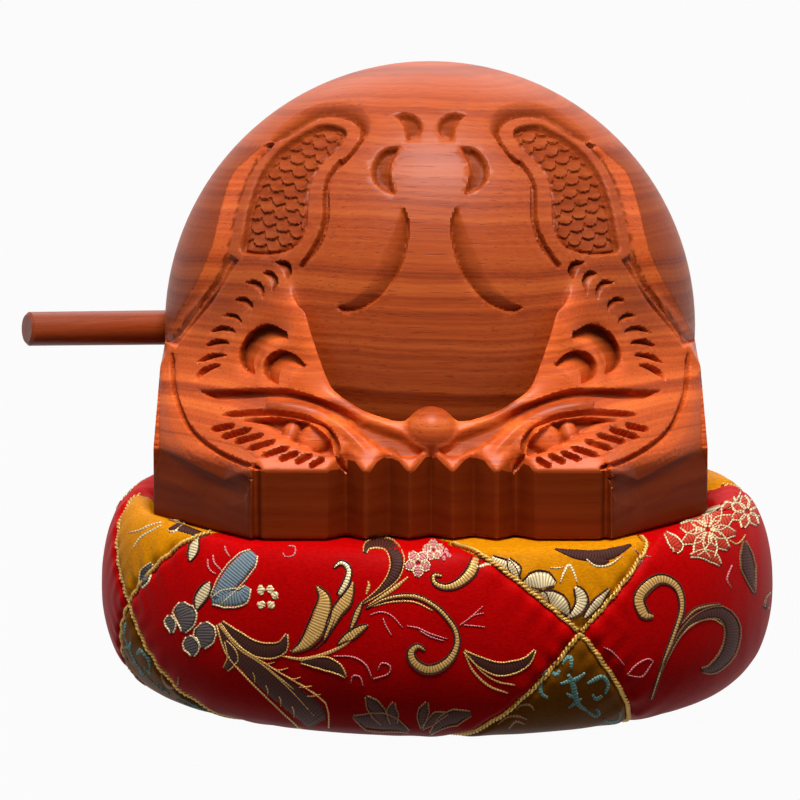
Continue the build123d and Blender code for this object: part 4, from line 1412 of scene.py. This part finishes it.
def strip_places(widths, points, steps=4):
    """Grid of drawing places over a strip, and the distance along it."""
    line = smooth_line(points, steps)
    wide = np.interp(np.linspace(0, 1, len(line)), np.linspace(0, 1, len(widths)), widths)
    ahead = np.gradient(line, axis=0)
    side = np.column_stack((-ahead[:, 1], ahead[:, 0])) / np.linalg.norm(ahead, axis=1)[:, None]
    grid = line[:, None] + side[:, None] * ACROSS[None, :, None] * np.maximum(wide, 0.3)[:, None, None]
    along = np.concatenate(([0], np.cumsum(np.linalg.norm(np.diff(line, axis=0), axis=1))))
    return grid, along


def edge_lines(widths, points):
    """The two edges of a strip, as lines of their own."""
    grid, _ = strip_places(widths, points, 3)
    return [grid[:, 0], grid[:, -1]]


def on_cover(x, y):
    """Place on the cover that is seen at a drawing place, or nothing."""
    across, up = (x - FRAME_UNITS / 2) * VIEW_UNIT, (FRAME_UNITS / 2 - y) * VIEW_UNIT
    aim = VIEW_FORWARD * VIEW_DISTANCE + VIEW_RIGHT * across + VIEW_UP * up
    return cover.ray_cast(VIEW_FROM, aim.normalized())[0]


def turned_on_cover(place, turn):
    """A place turned about the cushion's axis and laid on the cover again, with the cover's normal."""
    away = np.array(place) - CUSHION_WAIST
    c, s = math.cos(turn), math.sin(turn)
    out = Vector(unit(np.array((c * away[0] - s * away[1], s * away[0] + c * away[1], away[2]))))
    hit, normal, _, _ = cover.ray_cast(Vector(CUSHION_WAIST) + out * OUTSIDE, -out)
    return hit, normal


def add_strip(bm, grid, along, turn, lift, rise):
    """Raised strip of thread on the cover; its edges lie just under the surface."""
    uv = bm.loops.layers.uv.verify()
    rows = []
    for row, reach in zip(grid, along):
        spots = [on_cover(x, y) for x, y in row]
        if any(spot is None for spot in spots):
            continue
        laid = [turned_on_cover(spot, turn) for spot in spots]
        if any(hit is None for hit, _ in laid):
            continue
        heights = lift + rise * (1 - ACROSS**2) - 0.12 * MM * np.abs(ACROSS) ** 6
        rows.append(([bm.verts.new(hit + normal * h) for (hit, normal), h in zip(laid, heights)], reach))
    for (low, u0), (high, u1) in zip(rows, rows[1:]):
        around = list(zip(low, high))
        for k in range(5):
            (a, b), (d, c) = around[k], around[(k + 1) % 5]
            face = bm.faces.new((a, b, c, d))
            v0, v1 = (ACROSS[k], ACROSS[k + 1]) if k < 4 else (1, -1)
            for loop, place in zip(face.loops, ((u0, v0), (u1, v0), (u1, v1), (u0, v1))):
                loop[uv].uv = place
    if len(rows) > 1:
        bm.faces.new(rows[0][0])
        bm.faces.new(rows[-1][0][::-1])


def thread_material(name, colour, shiny):
    """Satin stitches that lie across the strip."""
    material, nodes, links = new_material(f"thread_{name}")
    shader = nodes["Principled BSDF"]
    where = nodes.new("ShaderNodeUVMap")
    stitch = nodes.new("ShaderNodeTexWave")
    stitch.inputs["Scale"].default_value = 0.11
    stitch.inputs["Distortion"].default_value = 1.6
    stitch.inputs["Detail"].default_value = 1.0
    links.new(where.outputs["UV"], stitch.inputs["Vector"])
    tone = ramp(nodes, links, stitch.outputs["Fac"], (0.0, tuple(0.5 * c for c in colour)),
                (0.55, colour), (1.0, tuple(min(1.35 * c, 1) for c in colour)))
    links.new(tone, shader.inputs["Base Color"])
    shader.inputs["Specular IOR Level"].default_value = 0.15
    shader.inputs["Roughness"].default_value = 0.42 if shiny else 0.6
    shader.inputs["Metallic"].default_value = 0.3 if shiny else 0.0
    links.new(bump(nodes, links, stitch.outputs["Fac"], 0.12 * MM, 0.6), shader.inputs["Normal"])
    return material


QUARTER = math.pi / 2
HALF_TURN = 2 * QUARTER
LAYOUT = ((FRONT_RED, (0, HALF_TURN)), (RIGHT_RED, (0, HALF_TURN)), (GOLD_TOP, (0, QUARTER, HALF_TURN)),
          (GOLD_BASE, (0, QUARTER, HALF_TURN, 3 * QUARTER)), (GOLD_LEFT, (0,)))
meshes = {name: bmesh.new() for name in THREADS}
for figures, turns in LAYOUT:
    for thread, edging, widths, *lines in figures:
        for points, turn in itertools.product(lines, turns):
            grid, along = strip_places(widths, points)
            add_strip(meshes[thread], grid, along, turn, STITCH_LIFT, STITCH_RISE)
            if edging:
                for line in edge_lines(widths, points):
                    grid, along = strip_places([EDGING_HALF] * len(line), line, 1)
                    add_strip(meshes[edging], grid, along, turn, EDGING_LIFT, EDGING_RISE)
for name, bm in meshes.items():
    bmesh.ops.recalc_face_normals(bm, faces=bm.faces)
    mesh = bpy.data.meshes.new(f"brocade_{name}")
    bm.to_mesh(mesh)
    bm.free()
    mesh.shade_smooth()
    mesh.materials.append(thread_material(name, THREADS[name], name in SHINY_THREADS))
    figure = bpy.data.objects.new(mesh.name, mesh)
    scene.collection.objects.link(figure)
    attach(figure, "cushion")
    print(figure.name, len(mesh.polygons), "faces")
